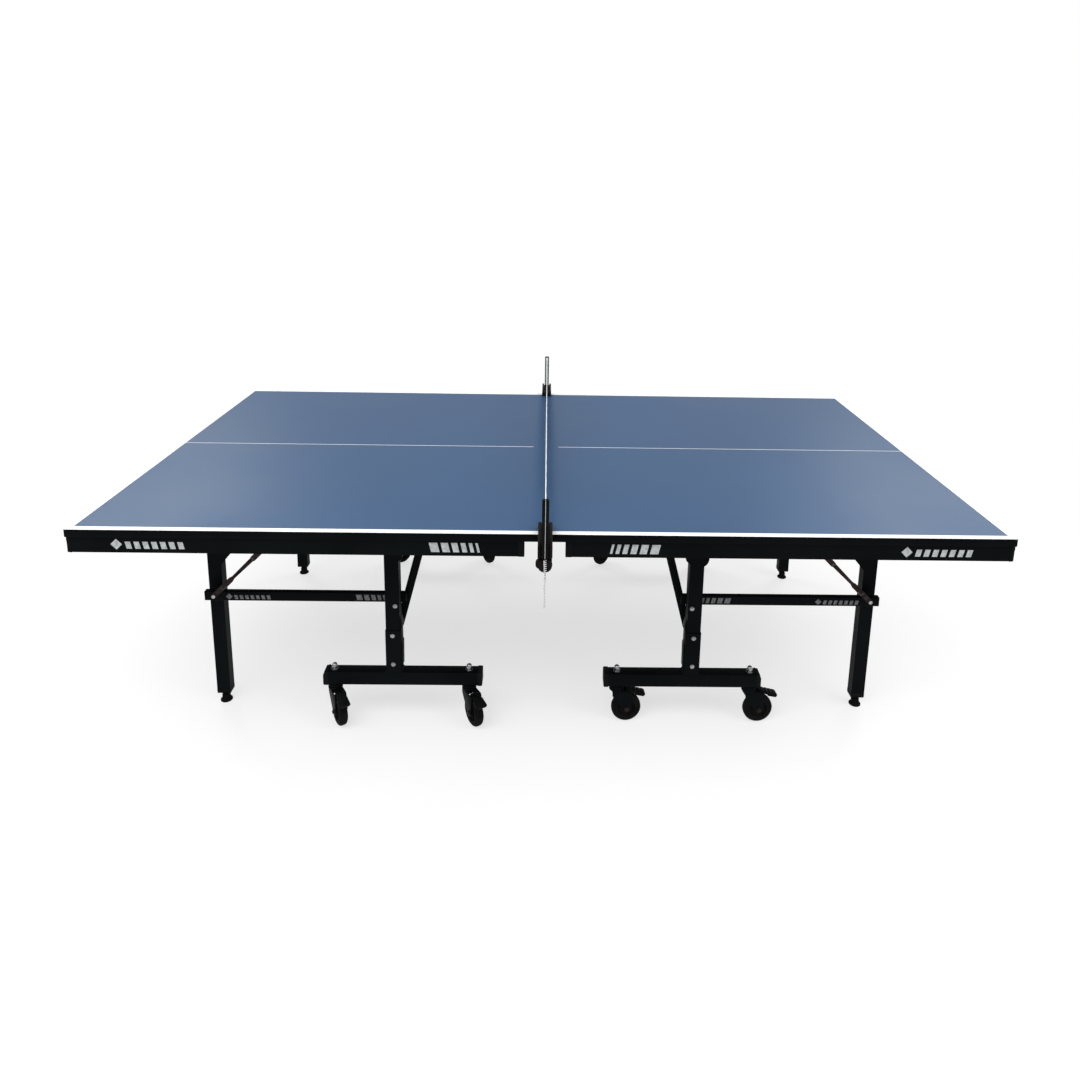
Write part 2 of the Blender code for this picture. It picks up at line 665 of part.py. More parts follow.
# ---- Casters, drawn about their stem with the trail along +X -----------------------------------
def caster_fork():
    """Swivel head, crown, two side plates, the axle and the pedal's pin."""
    outer = FORK_INNER + FORK_PLATE
    head = drum(FORK_HEAD_RADIUS, (0, 0, CROWN_BOTTOM), (0, 0, FORK_TOP), ROUND_SEGMENTS)
    top = CROWN_BOTTOM + FORK_CROWN
    crown = block(-CROWN_BACK, CROWN_FRONT, -outer, outer, CROWN_BOTTOM, top)
    outline = [(-FORK_BACK, top), (-FORK_BACK, CROWN_BOTTOM - FORK_SKIRT)]
    for step in range(7):
        angle = math.radians(200 + 140 * step / 6)
        x, z = AXLE_BOSS * math.cos(angle), AXLE_BOSS * math.sin(angle)
        outline.append((CASTER_TRAIL + x, WHEEL_RADIUS + z))
    outline += [(PEDAL_HINGE + FORK_NOSE, PEDAL_Z - FORK_SKIRT), (PEDAL_HINGE + FORK_NOSE_TOP, top)]
    fork = joined(head, crown)
    for side in (-1, 1):
        low, high = sorted((side * FORK_INNER, side * outer))
        fork = joined(fork, plate(outline, low, high))
    low, high = (0, 0, CROWN_BOTTOM - CUT_OVERSHOOT), (0, 0, FORK_TOP + CUT_OVERSHOOT)
    fork = cut(fork, drum(STEM_RADIUS + PIN_CLEARANCE, low, high, PIN_SEGMENTS))
    reach = FORK_INNER + WELD_OVERLAP
    left, right = (CASTER_TRAIL, -reach, WHEEL_RADIUS), (CASTER_TRAIL, reach, WHEEL_RADIUS)
    axle = drum(AXLE_RADIUS, left, right, PIN_SEGMENTS)
    left, right = (PEDAL_HINGE, -reach, PEDAL_Z), (PEDAL_HINGE, reach, PEDAL_Z)
    hinge = drum(PEDAL_PIN_RADIUS, left, right, PIN_SEGMENTS)
    return joined(fork, axle, hinge)


def caster_wheel():
    """Tyre, web and hub turned as one."""
    half = WHEEL_WIDTH / 2
    rim = WHEEL_RADIUS - RIM_DEPTH
    dish = half - DISH_DEPTH
    profile = [
        (WHEEL_BORE, -half),
        (HUB_RADIUS, -half),
        (HUB_RADIUS, -dish),
        (rim, -dish),
        (rim, -half),
        (WHEEL_RADIUS, -half + TREAD_BEVEL),
        (WHEEL_RADIUS, half - TREAD_BEVEL),
        (rim, half),
        (rim, dish),
        (HUB_RADIUS, dish),
        (HUB_RADIUS, half),
        (WHEEL_BORE, half),
    ]
    wheel = turned(profile, WHEEL_SEGMENTS)
    wheel.data.transform(Matrix.Translation((CASTER_TRAIL, 0, WHEEL_RADIUS)))
    return wheel


def brake_pedal():
    """The foot pedal over the wheel's trailing side."""
    half = WHEEL_WIDTH / 2
    end = PEDAL_HINGE + PEDAL_LENGTH
    thick = PEDAL_THICKNESS
    heel, front = PEDAL_HINGE - PEDAL_HEEL, PEDAL_HINGE + PEDAL_HEEL
    outline = [(heel, PEDAL_Z - thick), (PEDAL_HINGE + PEDAL_PLATFORM, PEDAL_Z - thick)]
    outline += [(end, PEDAL_Z - PEDAL_DROP - thick), (end + PEDAL_LIP, PEDAL_Z - PEDAL_DROP)]
    outline += [(front, PEDAL_Z + PEDAL_HEEL), (heel, PEDAL_Z + PEDAL_HEEL)]
    left, right = (PEDAL_HINGE, -2 * half, PEDAL_Z), (PEDAL_HINGE, 2 * half, PEDAL_Z)
    hinge_hole = drum(PEDAL_PIN_RADIUS + PIN_CLEARANCE, left, right, PIN_SEGMENTS)
    return cut(plate(outline, -half, half), hinge_hole)


def add_caster(prefix, x, y, heading, braked, parent):
    """One caster on its stem, turned to its heading."""
    turn = math.radians(heading)
    fork = place(caster_fork(), prefix + "_caster_fork", FRAME_BLACK, (0, 0, FORK_TOP), None, turn)
    fork.location = (x, y, FORK_TOP)
    pieces = [(caster_wheel(), "_caster_wheel", WHEEL_BLACK, (CASTER_TRAIL, 0, WHEEL_RADIUS))]
    if braked:
        pieces.append((brake_pedal(), "_brake_pedal", PLASTIC_BLACK, (PEDAL_HINGE, 0, PEDAL_Z)))
    bpy.context.view_layer.update()
    for obj, suffix, finish, pivot in pieces:
        place(obj, prefix + suffix, finish, pivot)
        obj.parent = fork
        obj.location = Vector(pivot) - Vector((0, 0, FORK_TOP))
    fork.parent = parent
    fork.matrix_parent_inverse = parent.matrix_world.inverted()


# ---- Net ---------------------------------------------------------------------------------------
def net():
    half = NET_THICKNESS / 2
    reach = POST_Y - POST_DEPTH / 2 - CLAMP_GAP
    top = TABLE_HEIGHT + NET_HEIGHT - NET_TOP_DROP
    return block(-half, half, -reach, reach, TABLE_HEIGHT + NET_LIFT, top)


def net_support():
    """The clamp arm and block with the net post on its outer end."""
    half = CLAMP_WIDTH / 2
    arm = block(-half, half, HALF_WIDTH - CLAMP_REACH, POST_Y, TABLE_HEIGHT + CLAMP_GAP, CLAMP_TOP)
    body = block(-half, half, CLAMP_INNER_Y, POST_Y, CLAMP_BOTTOM, CLAMP_TOP - WELD_OVERLAP)
    slot = NET_THICKNESS / 2 + CLAMP_GAP
    low, high = POST_Y - POST_DEPTH / 2, POST_Y + POST_DEPTH / 2
    throat = block(-slot, slot, 0, low, TABLE_HEIGHT + NET_LIFT - CLAMP_GAP, CLAMP_TOP + CUT_OVERSHOOT)
    half = POST_WIDTH / 2
    post = block(-half, half, low, high, CLAMP_BOTTOM, TABLE_HEIGHT + NET_HEIGHT)
    return joined(cut(joined(arm, body), throat), post)


def clamp_jaw():
    """The sprung lower jaw, which swings about its round outer end."""
    half = JAW_WIDTH / 2
    lever = block(-half, half, CLAMP_INNER_Y, JAW_PIVOT_Y, JAW_PIVOT_Z, JAW_TOP)
    start = Vector((0, JAW_PIVOT_Y - JAW_KNOB_LENGTH / 2, JAW_PIVOT_Z))
    knob = drum(JAW_KNOB_RADIUS, start, start + Vector((0, JAW_KNOB_LENGTH, 0)), ROUND_SEGMENTS)
    return joined(lever, knob)


def tension_chain():
    """The free end of the net's tension chain, hanging from the near post."""
    y = -(POST_Y + POST_DEPTH / 2 + CHAIN_DIAMETER)
    z = CLAMP_TOP - CHAIN_TOP_DROP
    points = [Vector((x, y + dy, z + dz)) for x, dy, dz in CHAIN_ROUTE]
    path = []
    steps = 2
    for i in range(len(points) - 1):
        before = points[max(i - 1, 0)]
        after = points[min(i + 2, len(points) - 1)]
        for step in range(steps):
            path.append(smooth(before, points[i], points[i + 1], after, step / steps))
    path.append(points[-1])
    curve = bpy.data.curves.new("tension_chain", "CURVE")
    curve.dimensions = "3D"
    curve.bevel_depth = CHAIN_DIAMETER / 2
    curve.bevel_resolution = 2
    curve.use_fill_caps = True
    spline = curve.splines.new("POLY")
    spline.points.add(len(path) - 1)
    for point, at in zip(spline.points, path):
        point.co = (*at, 1)
    obj = bpy.data.objects.new("tension_chain", curve)
    obj.data.materials.append(material(CHAIN_WHITE))
    bpy.context.scene.collection.objects.link(obj)
    return obj


def smooth(before, start, end, after, t):
    """A point on the smooth curve through start and end."""
    return 0.5 * (
        2 * start
        + (end - before) * t
        + (2 * before - 5 * start + 4 * end - after) * t**2
        + (3 * start - before - 3 * end + after) * t**3
    )


# ---- Assembly ----------------------------------------------------------------------------------
def quarter(make, side_x, side_y, name, finish, pivot, parent):
    """One mirrored copy of a piece, with its origin on its own joint."""
    x, y, z = pivot
    return place(mirror(make(), side_x, side_y), name, finish, (side_x * x, side_y * y, z), parent)


def add_half(label, side_x, headings):
    """One half of the table: its trolley, its top and what swings between them."""

    def half_piece(make, name, finish, pivot, parent):
        return quarter(make, side_x, 1, label + name, finish, pivot, parent)

    trolley = half_piece(trolley_frame, "_trolley_frame", FRAME_BLACK, (UPRIGHT_X, 0, LINK_Z), None)
    fold = (UPRIGHT_X, 0, PIVOT_Z)
    top = half_piece(board, "_board", BOARD_BLUE, fold, trolley)
    half_piece(apron_frame, "_apron_frame", FRAME_BLACK, fold, top)
    legs = half_piece(leg_frame, "_leg_frame", FRAME_BLACK, (LEG_PIVOT_X, 0, PIVOT_Z), top)
    side_pieces = (
        (t_foot, "t_foot", FRAME_BLACK, (UPRIGHT_X, UPRIGHT_Y, FOOT_TOP), trolley),
        (levelling_foot, "levelling_foot", PLASTIC_BLACK, (LEG_X, LEG_Y, 0), legs),
        (link_bar, "link_bar", FRAME_BLACK, (UPRIGHT_X, LINK_OUTER_Y, LINK_Z), trolley),
        (strut, "strut", FRAME_BLACK, (STRUT_TOP_X, STRUT_OUTER_Y, PIVOT_Z), top),
        (stay_lower, "stay_lower", STAY_BROWN, (LEG_PIVOT_X, STAY_LOWER_Y, LINK_Z), legs),
        (stay_upper, "stay_upper", STAY_BROWN, (STAY_TOP_X, STAY_UPPER_Y, PIVOT_Z), top),
    )
    for side, side_y in (("near", -1), ("far", 1)):
        name = f"{label}_{side}_"
        made = {
            piece: quarter(make, side_x, side_y, name + piece, finish, pivot, parent)
            for make, piece, finish, pivot, parent in side_pieces
        }
        foot = made["t_foot"]
        ends = (("inner", CASTER_INNER_X), ("outer", CASTER_OUTER_X))
        for (end, x), heading in zip(ends, headings[side]):
            add_caster(name + end, side_x * x, side_y * UPRIGHT_Y, heading, side == "near", foot)


def add_net():
    support_pivot = (0, POST_Y, CLAMP_TOP)
    cloth = quarter(net, 1, 1, "net", NET_BLACK, (0, 0, TABLE_HEIGHT), None)
    for side, side_y in (("near", -1), ("far", 1)):
        name = side + "_net_support"
        support = quarter(net_support, 1, side_y, name, PLASTIC_BLACK, support_pivot, cloth)
        pivot = (0, JAW_PIVOT_Y, JAW_PIVOT_Z)
        quarter(clamp_jaw, 1, side_y, side + "_clamp_jaw", PLASTIC_BLACK, pivot, support)
    tension_chain()


for old in list(bpy.data.objects):
    bpy.data.objects.remove(old)
add_half("left", -1, LEFT_HEADINGS)
add_half("right", 1, RIGHT_HEADINGS)
add_net()
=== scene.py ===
# %% [markdown]
# # A folding table tennis table
#
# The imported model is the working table: two boards, two rolling trolleys, the fold linkages and
# the net. It moves correctly but it looks plain. This lesson dresses it piece by piece. Some packed
# pieces stay and only get a finish. Most are swapped for a finer mesh that sits in the same place
# and rides on the same body, so that the table still folds.

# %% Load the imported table
from math import atan2, cos, pi, radians, sin

import bmesh
import bpy
from mathutils import Matrix, Vector


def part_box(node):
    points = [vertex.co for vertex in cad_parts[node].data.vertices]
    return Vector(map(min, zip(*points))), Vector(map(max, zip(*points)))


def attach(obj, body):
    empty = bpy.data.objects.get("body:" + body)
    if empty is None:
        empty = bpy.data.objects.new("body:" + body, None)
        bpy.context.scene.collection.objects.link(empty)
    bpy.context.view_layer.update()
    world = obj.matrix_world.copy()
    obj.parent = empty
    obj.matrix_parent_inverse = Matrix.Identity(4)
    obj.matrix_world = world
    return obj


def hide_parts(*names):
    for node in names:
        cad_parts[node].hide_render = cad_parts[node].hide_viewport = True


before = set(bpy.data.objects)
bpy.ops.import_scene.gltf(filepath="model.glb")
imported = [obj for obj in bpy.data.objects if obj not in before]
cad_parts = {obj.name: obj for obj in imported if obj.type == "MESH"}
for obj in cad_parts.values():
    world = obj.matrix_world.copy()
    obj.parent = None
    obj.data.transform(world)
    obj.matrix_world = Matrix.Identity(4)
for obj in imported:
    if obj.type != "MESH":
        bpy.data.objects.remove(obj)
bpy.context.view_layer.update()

# %% [markdown]
# ## The view
#
# The table is seen from one long side, from a little above eye level, by a camera held almost
# level. Its lens sits above the middle of the frame, which a lens shift gives without tilting the
# uprights. The camera comes first, because it says which sides deserve the most work.

# %% Camera
CAMERA_PLACE = Vector((-0.0044, -2.950, 1.7737))
CAMERA_YAW, CAMERA_PITCH, CAMERA_ROLL = 0.0166, 0.2090, -0.0176
CAMERA_LENS = 27.34
CAMERA_SHIFT = (-0.0182, -0.1791)

ahead = Vector((sin(CAMERA_YAW) * cos(CAMERA_PITCH), cos(CAMERA_YAW) * cos(CAMERA_PITCH), -sin(CAMERA_PITCH)))
level = Vector((cos(CAMERA_YAW), -sin(CAMERA_YAW), 0))
down = ahead.cross(level)
right = level * cos(CAMERA_ROLL) + down * sin(CAMERA_ROLL)
down = down * cos(CAMERA_ROLL) - level * sin(CAMERA_ROLL)

camera = bpy.data.objects.new("camera", bpy.data.cameras.new("camera"))
camera.matrix_world = Matrix.Translation(CAMERA_PLACE) @ Matrix((right, -down, -ahead)).transposed().to_4x4()
camera.data.lens = CAMERA_LENS
camera.data.shift_x, camera.data.shift_y = CAMERA_SHIFT
bpy.context.scene.collection.objects.link(camera)
bpy.context.scene.camera = camera
bpy.context.scene.view_settings.view_transform = "Standard"
print("camera at", [round(value, 3) for value in camera.matrix_world.translation])

# %% [markdown]
# ## Finishes
#
# Each finish is a Principled shader with a little noise on its colour, its roughness and its
# surface. Paint, powder coat and plastic are never perfectly even, and this unevenness is what
# tells them apart when they are all black. Object coordinates drive the noise, so that the grain
# has its real size on every piece and moves with the piece when the table folds.


# %% Finish helpers
COAT_SHINE = 0.028


def mm(*rows):
    """Rows of numbers given in thousandths, which for lengths means millimetres."""
    return [tuple(value / 1000 for value in row) for row in rows]


def add_node(tree, kind, inputs=(), **settings):
    """A new shader node with some of its inputs and settings filled in."""
    node = tree.nodes.new("ShaderNode" + kind)
    for key, value in dict(inputs).items():
        node.inputs[key].default_value = value
    for key, value in settings.items():
        setattr(node, key, value)
    return node


def connect(source, target):
    source.id_data.links.new(source, target)


def start_finish(name, roughness, metallic=0.0):
    """A new material with its shader and the piece's own coordinates."""
    made = bpy.data.materials.new(name)
    made.use_nodes = True
    shader = made.node_tree.nodes["Principled BSDF"]
    shader.inputs["Roughness"].default_value = roughness
    shader.inputs["Metallic"].default_value = metallic
    return made, shader, add_node(made.node_tree, "TexCoord").outputs["Object"]


def grain(place, scale, detail=3.0):
    """Noise whose cells are about one over scale metres wide."""
    noise = add_node(place.id_data, "TexNoise", {"Scale": scale, "Detail": detail})
    connect(place, noise.inputs["Vector"])
    return noise.outputs["Fac"]


def blend_colours(factor, dark, light, low=0.35, high=0.65):
    """A colour that goes from dark to light as the factor goes from low to high."""
    ramp = add_node(factor.id_data, "ValToRGB")
    first, last = ramp.color_ramp.elements
    first.position, first.color = low, (*dark, 1)
    last.position, last.color = high, (*light, 1)
    connect(factor, ramp.inputs["Fac"])
    return ramp.outputs["Color"]


def map_range(factor, start, end, low=0.0, high=1.0, **settings):
    """A value that goes from low to high as the factor goes from start to end."""
    ends = {"From Min": start, "From Max": end, "To Min": low, "To Max": high}
    stretch = add_node(factor.id_data, "MapRange", ends, **settings)
    connect(factor, stretch.inputs["Value"])
    return stretch.outputs["Result"]


def raise_surface(shader, height, depth):
    """Bumps the surface by a depth in metres."""
    bump = add_node(shader.id_data, "Bump", {"Strength": 1.0, "Distance": depth})
    connect(height, bump.inputs["Height"])
    connect(bump.outputs["Normal"], shader.inputs["Normal"])


def uneven_finish(name, dark, light, rough, fine, depth, broad=6.0, metallic=0.0):
    """
    The recipe that most finishes share: broad colour drift, fine grain, drifting gloss. Its colours
    are in thousandths and the depth of its grain is in micrometres.
    """
    made, shader, place = start_finish(name, rough[0], metallic)
    drift = grain(place, broad)
    connect(blend_colours(drift, *mm(dark, light)), shader.inputs["Base Color"])
    connect(map_range(drift, 0.3, 0.7, *rough), shader.inputs["Roughness"])
    raise_surface(shader, grain(place, fine, 2.0), depth / 1e6)
    shader.inputs["Specular IOR Level"].default_value = COAT_SHINE
    return made


# %% Black powder coat on the steel
# Powder melts into a skin with a faint orange peel, about a millimetre from dimple to dimple. The
# second coat also rounds the light over sharp edges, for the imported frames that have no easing.
powder_black, powder_eased = [
    uneven_finish(name, (1.4, 2.2, 2.6), (2.6, 3.6, 4), (0.40, 0.50), 850, 60)
    for name in ("powder_black", "powder_black_eased")
]
eased_edge = add_node(powder_eased.node_tree, "Bevel", {"Radius": 0.0012}, samples=4)
connect(eased_edge.outputs["Normal"], powder_eased.node_tree.nodes["Bump"].inputs["Normal"])

# %% Plastics, rubber and plated steel
moulded_black = uneven_finish("moulded_black", (3, 3.3, 3.6), (6.2, 6.4, 6.6), (0.42, 0.56), 2200, 40, 14)
caster_rubber = uneven_finish("caster_rubber", (3.6, 3.4, 3.4), (7.5, 7, 6.8), (0.62, 0.80), 1500, 60, 30)
zinc_bright = uneven_finish("zinc_bright", (200, 210, 220), (420, 420, 420), (0.22, 0.40), 1800, 20, 90, metallic=1.0)
plated_brown = uneven_finish("plated_brown", (16, 10.5, 10), (30, 21, 20), (0.34, 0.50), 1600, 30, 25, metallic=0.35)
screw_dark = uneven_finish("screw_dark", (30, 30, 32), (65, 65, 68), (0.28, 0.42), 1700, 20, 80, metallic=0.9)

# %% [markdown]
# ## Building blocks
#
# Almost everything under the boards is cut from a few kinds of stock: flat bar, square tube,
# turned parts and small screws. Each kind gets one function that adds its shape to a mesh that is
# being built. The edges are eased, because a real edge always catches a thin line of light. Every
# piece is drawn once, in the quarter where X and Y are positive, and is mirrored where it goes.


# %% Stock shapes
def block(bm, one, other):
    """A plain block between two opposite corners."""
    ends = [sorted(pair) for pair in zip(one, other)]
    corners = bmesh.ops.create_cube(bm, size=1.0)["verts"]
    for vert in corners:
        vert.co = [pair[at > 0] for pair, at in zip(ends, vert.co)]
    return corners


def ease_edges(bm, edges, ease, steps):
    bmesh.ops.bevel(bm, geom=edges, offset=ease, segments=steps, affect="EDGES", profile=0.5)


def eased_bar(bm, one, other, ease=0.0008, steps=2):
    """A solid bar between two opposite corners with its edges eased."""
    corners = block(bm, one, other)
    ease_edges(bm, list({edge for vert in corners for edge in vert.link_edges}), ease, steps)


def eased_plate(bm, outline, y0, y1, ease=0.0006, steps=2):
    """A plate cut to an (x, z) outline between two depths, with both rims eased."""
    y0, y1 = sorted((y0, y1))
    face = bm.faces.new([bm.verts.new((x, y0, z)) for x, z in outline])
    grown = bmesh.ops.extrude_face_region(bm, geom=[face])["geom"]
    back = [item for item in grown if isinstance(item, bmesh.types.BMVert)]
    bmesh.ops.translate(bm, verts=back, vec=(0, y1 - y0, 0))
    rims = {*face.edges, *(e for v in back for e in v.link_edges if e.other_vert(v) in back)}
    if ease:
        ease_edges(bm, list(rims), ease, steps)


def arc(centre, radius, first, sweep, steps):
    """Points around a centre, from the first angle through a sweep."""
    angles = [first + sweep * step / steps for step in range(steps + 1)]
    return [(centre[0] + radius * cos(angle), centre[1] + radius * sin(angle)) for angle in angles]


def round_bar_outline(start, end, radius):
    """The (x, z) outline of a flat bar with round ends."""
    lean = atan2(end[1] - start[1], end[0] - start[0])
    return arc(end, radius, lean - pi / 2, pi, 8) + arc(start, radius, lean + pi / 2, pi, 8)


def rounded_loop(width, depth, corner):
    """The (across, deep) points of a rectangle with rounded corners."""
    points = []
    for turn, (side_a, side_b) in enumerate(((1, 1), (-1, 1), (-1, -1), (1, -1))):
        centre = (side_a * (width / 2 - corner), side_b * (depth / 2 - corner))
        points += arc(centre, corner, pi / 2 * turn, pi / 2, 4)
    return points


def join_rings(bm, rings, closed=False):
    """Walls between rings of points. The last ring joins the first, or else both ends get a cap."""
    rings = [[bm.verts.new(point) for point in ring] for ring in rings]
    for first, second in zip(rings, rings[1:] + rings[: int(closed)]):
        for i in range(len(first)):
            j = (i + 1) % len(first)
            bm.faces.new((first[i], first[j], second[j], second[i]))
    if not closed:
        bm.faces.new(rings[0])
        bm.faces.new(rings[-1])


def square_tube(bm, start, end, width, depth, wall, corner=0.003):
    """An open rectangular tube from start to end. Depth runs along Y."""
    start, end = Vector(start), Vector(end)
    deep = Vector((0, 1, 0))
    across = deep.cross((end - start).normalized())
    outer = rounded_loop(width, depth, corner)
    inner = rounded_loop(width - 2 * wall, depth - 2 * wall, max(corner - wall, 0.0008))
    walls = ((start, outer), (end, outer), (end, inner), (start, inner))
    join_rings(bm, [[place + across * a + deep * b for a, b in loop] for place, loop in walls], closed=True)


def turned(bm, profile, centre, axis=(0, 0, 1), steps=24):
    """A (radius, height) profile turned about an axis through the centre."""
    centre, axis = Vector(centre), Vector(axis).normalized()
    side = axis.orthogonal().normalized()
    other = axis.cross(side)
    angles = [2 * pi * step / steps for step in range(steps)]
    spokes = [side * cos(angle) + other * sin(angle) for angle in angles]
    rings = []
    for radius, height in profile:
        hub = centre + axis * height
        rings.append([bm.verts.new(hub + spoke * radius) for spoke in (spokes if radius else spokes[:1])])
    for first, second in zip(rings, rings[1:]):
        for i in range(steps):
            corners = [first[i % len(first)], first[(i + 1) % len(first)]]
            corners += [second[(i + 1) % len(second)], second[i % len(second)]]
            bm.faces.new(list(dict.fromkeys(corners)))


def disc(bm, radius, bottom, top, centre, axis=(0, 0, 1), steps=24):
    """A plain round disc or rod."""
    turned(bm, [(0, bottom), (radius, bottom), (radius, top), (0, top)], centre, axis, steps)


# %% Screws and nuts
def button_head(bm, centre, axis, radius=0.0075, height=0.0038):
    """A washer and a domed head with a socket in it."""
    disc(bm, radius * 1.35, 0, height * 0.3, centre, axis, 20)
    shares = ((0, 0.25), (1, 0.25), (1, 0.45), (0.86, 0.8), (0.6, 1), (0.42, 1), (0.378, 0.55), (0, 0.5))
    turned(bm, [(radius * a, height * b) for a, b in shares], centre, axis, 20)


def hexagon_head(bm, centre, axis):
    """A washer and a six-sided head with a small dimple, as on a carriage bolt's nut."""
    turned(bm, mm((0, 0), (7.5, 0), (7.2, 0.9), (0, 0.9)), centre, axis)
    side = mm((0, 0.6), (5.58, 0.6), (6, 1.3), (6, 2.9), (5.28, 3.7), (2.7, 3.7), (2.1, 2.7), (0, 2.5))
    turned(bm, side, centre, axis, 6)


def rivet_head(bm, centre, axis, radius, height):
    """A low dome that closes a pivot."""
    shares = ((0, 0), (1, 0), (0.94, 0.6), (0.6, 1), (0, 1))
    turned(bm, [(radius * a, height * b) for a, b in shares], centre, axis, 20)


def acorn_nut(bm, centre, radius=0.0104, height=0.0215):
    """A washer, a spring ring, a hexagon and a dome over the end of the thread."""
    disc(bm, radius * 1.22, 0, 0.0020, centre)
    disc(bm, radius * 0.80, 0.0018, 0.0052, centre, steps=20)
    flat = height * 0.52
    side = [(0, 0.005), (radius * 0.94, 0.005), (radius, 0.006), (radius, flat - 0.001), (radius * 0.9, flat)]
    turned(bm, side + [(0, flat)], centre, steps=6)
    shoulder = flat + 0.003
    dome = [(0, flat - 0.0005), (radius * 0.84, flat - 0.0005)]
    for across, up in arc((0, 0), 1, 0, pi / 2 * 0.8, 4):
        dome.append((radius * 0.84 * across, shoulder + (height - shoulder) * up))
    turned(bm, dome + [(0, height)], centre, steps=20)


# %% Hand a finished mesh to the frame
HALVES = (("left", -1), ("right", 1))
SIDES = (("near", -1), ("far", 1))


def ride_along(piece, body, replaces=()):
    """Puts a piece in the scene, on the body it moves with."""
    bpy.context.scene.collection.objects.link(piece)
    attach(piece, body)
    if replaces:
        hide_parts(*replaces)
    return piece


def deliver(make, name, finish, body, replaces=(), side_x=1, side_y=1, sharp=32, stand=Matrix()):
    """Lets a make function draw the mesh, stands and mirrors it where it goes, and smooths it."""
    bm = bmesh.new()
    make(bm)
    bm.transform(stand)
    bmesh.ops.recalc_face_normals(bm, faces=bm.faces)
    bm.transform(Matrix.Diagonal((side_x, side_y, 1, 1)))
    if side_x * side_y < 0:
        bmesh.ops.reverse_faces(bm, faces=bm.faces)
    mesh = bpy.data.meshes.new(name)
    bm.to_mesh(mesh)
    bm.free()
    for one in finish if isinstance(finish, list) else [finish]:
        mesh.materials.append(one)
    mesh.shade_smooth()
    mesh.set_sharp_from_angle(angle=radians(sharp))
    return ride_along(bpy.data.objects.new(name, mesh), body, replaces)


def place_all(*pieces):
    """
    Delivers every (make, name, finish, body, slot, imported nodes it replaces) to both halves. A
    name or body with a leading underscore belongs to the half, any other to each of its two sides.
    """
    for half, side_x in HALVES:
        for side, side_y in (("", 1), *SIDES):
            where = f"{half}_{side}_" if side else half
            for make, name, finish, body, slot, *nodes in pieces:
                if name.startswith("_") == (where == half):
                    body = (half if body.startswith("_") else where) + body
                    nodes = [where + node for node in nodes]
                    deliver(make, where + name, finish, body, nodes, side_x, side_y)



# %% [markdown]
# ## The tension cord
#
# The net is pulled tight by a white cord that runs down a slot in each post. On the near post its
# spare end hangs free under the clamp, wound on itself like a spring near the top. The line it
# hangs on is one smooth curve with its real length. The winding is a thin helix around that line.

# %% Cord line
POST_MIDDLE_Y = 0.875
POST_DEPTH = 0.012
CORD_DIAMETER = 0.003
CORD_EXIT = Vector((0, -(POST_MIDDLE_Y + POST_DEPTH / 2 + CORD_DIAMETER), 0.7405))
CORD_STEPS = mm((0, 0, 0), (0.2, 0.2, -10), (0.6, 0.6, -22), (1, 0.9, -34), (1.2, 1, -46), (1, 0.8, -58))
CORD_STEPS += mm((0.6, 0.4, -70), (0.3, 0.1, -82), (0.2, -0.1, -94), (0.4, -0.2, -106), (0.7, -0.1, -118))
CORD_STEPS += mm((0.8, 0.1, -129), (0.6, 0.3, -139))


def flowing(points, parts):
    """More points along a smooth curve through the given ones."""
    found = []
    for i in range(len(points) - 1):
        before, start, end = points[max(i - 1, 0)], points[i], points[i + 1]
        after = points[min(i + 2, len(points) - 1)]
        for part in range(parts):
            t = part / parts
            bend = (2 * before - 5 * start + 4 * end - after) * t**2
            bend += (3 * start - before - 3 * end + after) * t**3
            found.append(0.5 * (2 * start + (end - before) * t + bend))
    return found + [points[-1]]


cord_line = flowing([CORD_EXIT + Vector(step) for step in CORD_STEPS], 2)

# %% Cord, its winding and its knot
cord_white = uneven_finish("cord_white", (620, 630, 640), (800, 800, 790), (0.55, 0.70), 1400, 120, 300)
cord_grey = uneven_finish("cord_grey", (360, 380, 390), (550, 560, 570), (0.55, 0.70), 1400, 120, 300)

# The spring core has painted shade where the bright coil wraps it: near black there, pale grey further down.
CORE_SHADE_Z, CORE_PALE_Z = 0.695, 0.680
cord_core, shader, place = start_finish("cord_core", 0.6)
height_of = add_node(cord_core.node_tree, "SeparateXYZ")
connect(place, height_of.inputs[0])
shade_fade = map_range(height_of.outputs["Z"], CORE_SHADE_Z, CORE_PALE_Z)
core_shade_colour = blend_colours(shade_fade, (0.012, 0.012, 0.013), (0.52, 0.53, 0.54), 0.0, 1.0)
connect(core_shade_colour, shader.inputs["Base Color"])
raise_surface(shader, grain(place, 1400), 0.00012)


def line_object(name, points, radius, finish):
    """A round line through points, as a curve with a bevel."""
    curve = bpy.data.curves.new(name, "CURVE")
    curve.dimensions = "3D"
    curve.bevel_depth = radius
    curve.bevel_resolution = 2
    curve.use_fill_caps = True
    spline = curve.splines.new("POLY")
    spline.points.add(len(points) - 1)
    for point, place in zip(spline.points, points):
        point.co = (*place, 1)
    curve.materials.append(finish)
    return ride_along(bpy.data.objects.new(name, curve), "net_assembly")


def winding(line, turns, start_radius, end_radius, first, last):
    """Points of a helix around part of a line that runs down."""
    points = []
    steps = turns * 14
    for step in range(steps + 1):
        share = step / steps
        place = (first + (last - first) * share) * (len(line) - 1)
        i = min(int(place), len(line) - 2)
        centre = line[i].lerp(line[i + 1], place - i)
        radius = start_radius + (end_radius - start_radius) * share
        angle = 2 * pi * turns * share
        points.append(centre + Vector((radius * cos(angle), radius * sin(angle), 0)))
    return points


def make_knot(bm):
    profile = mm((0, -4), (1.6, -3.8), (2.7, -2.4), (2.2, -1), (2.9, 0.4), (2.4, 1.8), (1.4, 2.8), (0, 2.8))
    turned(bm, profile, cord_line[-1], steps=14)


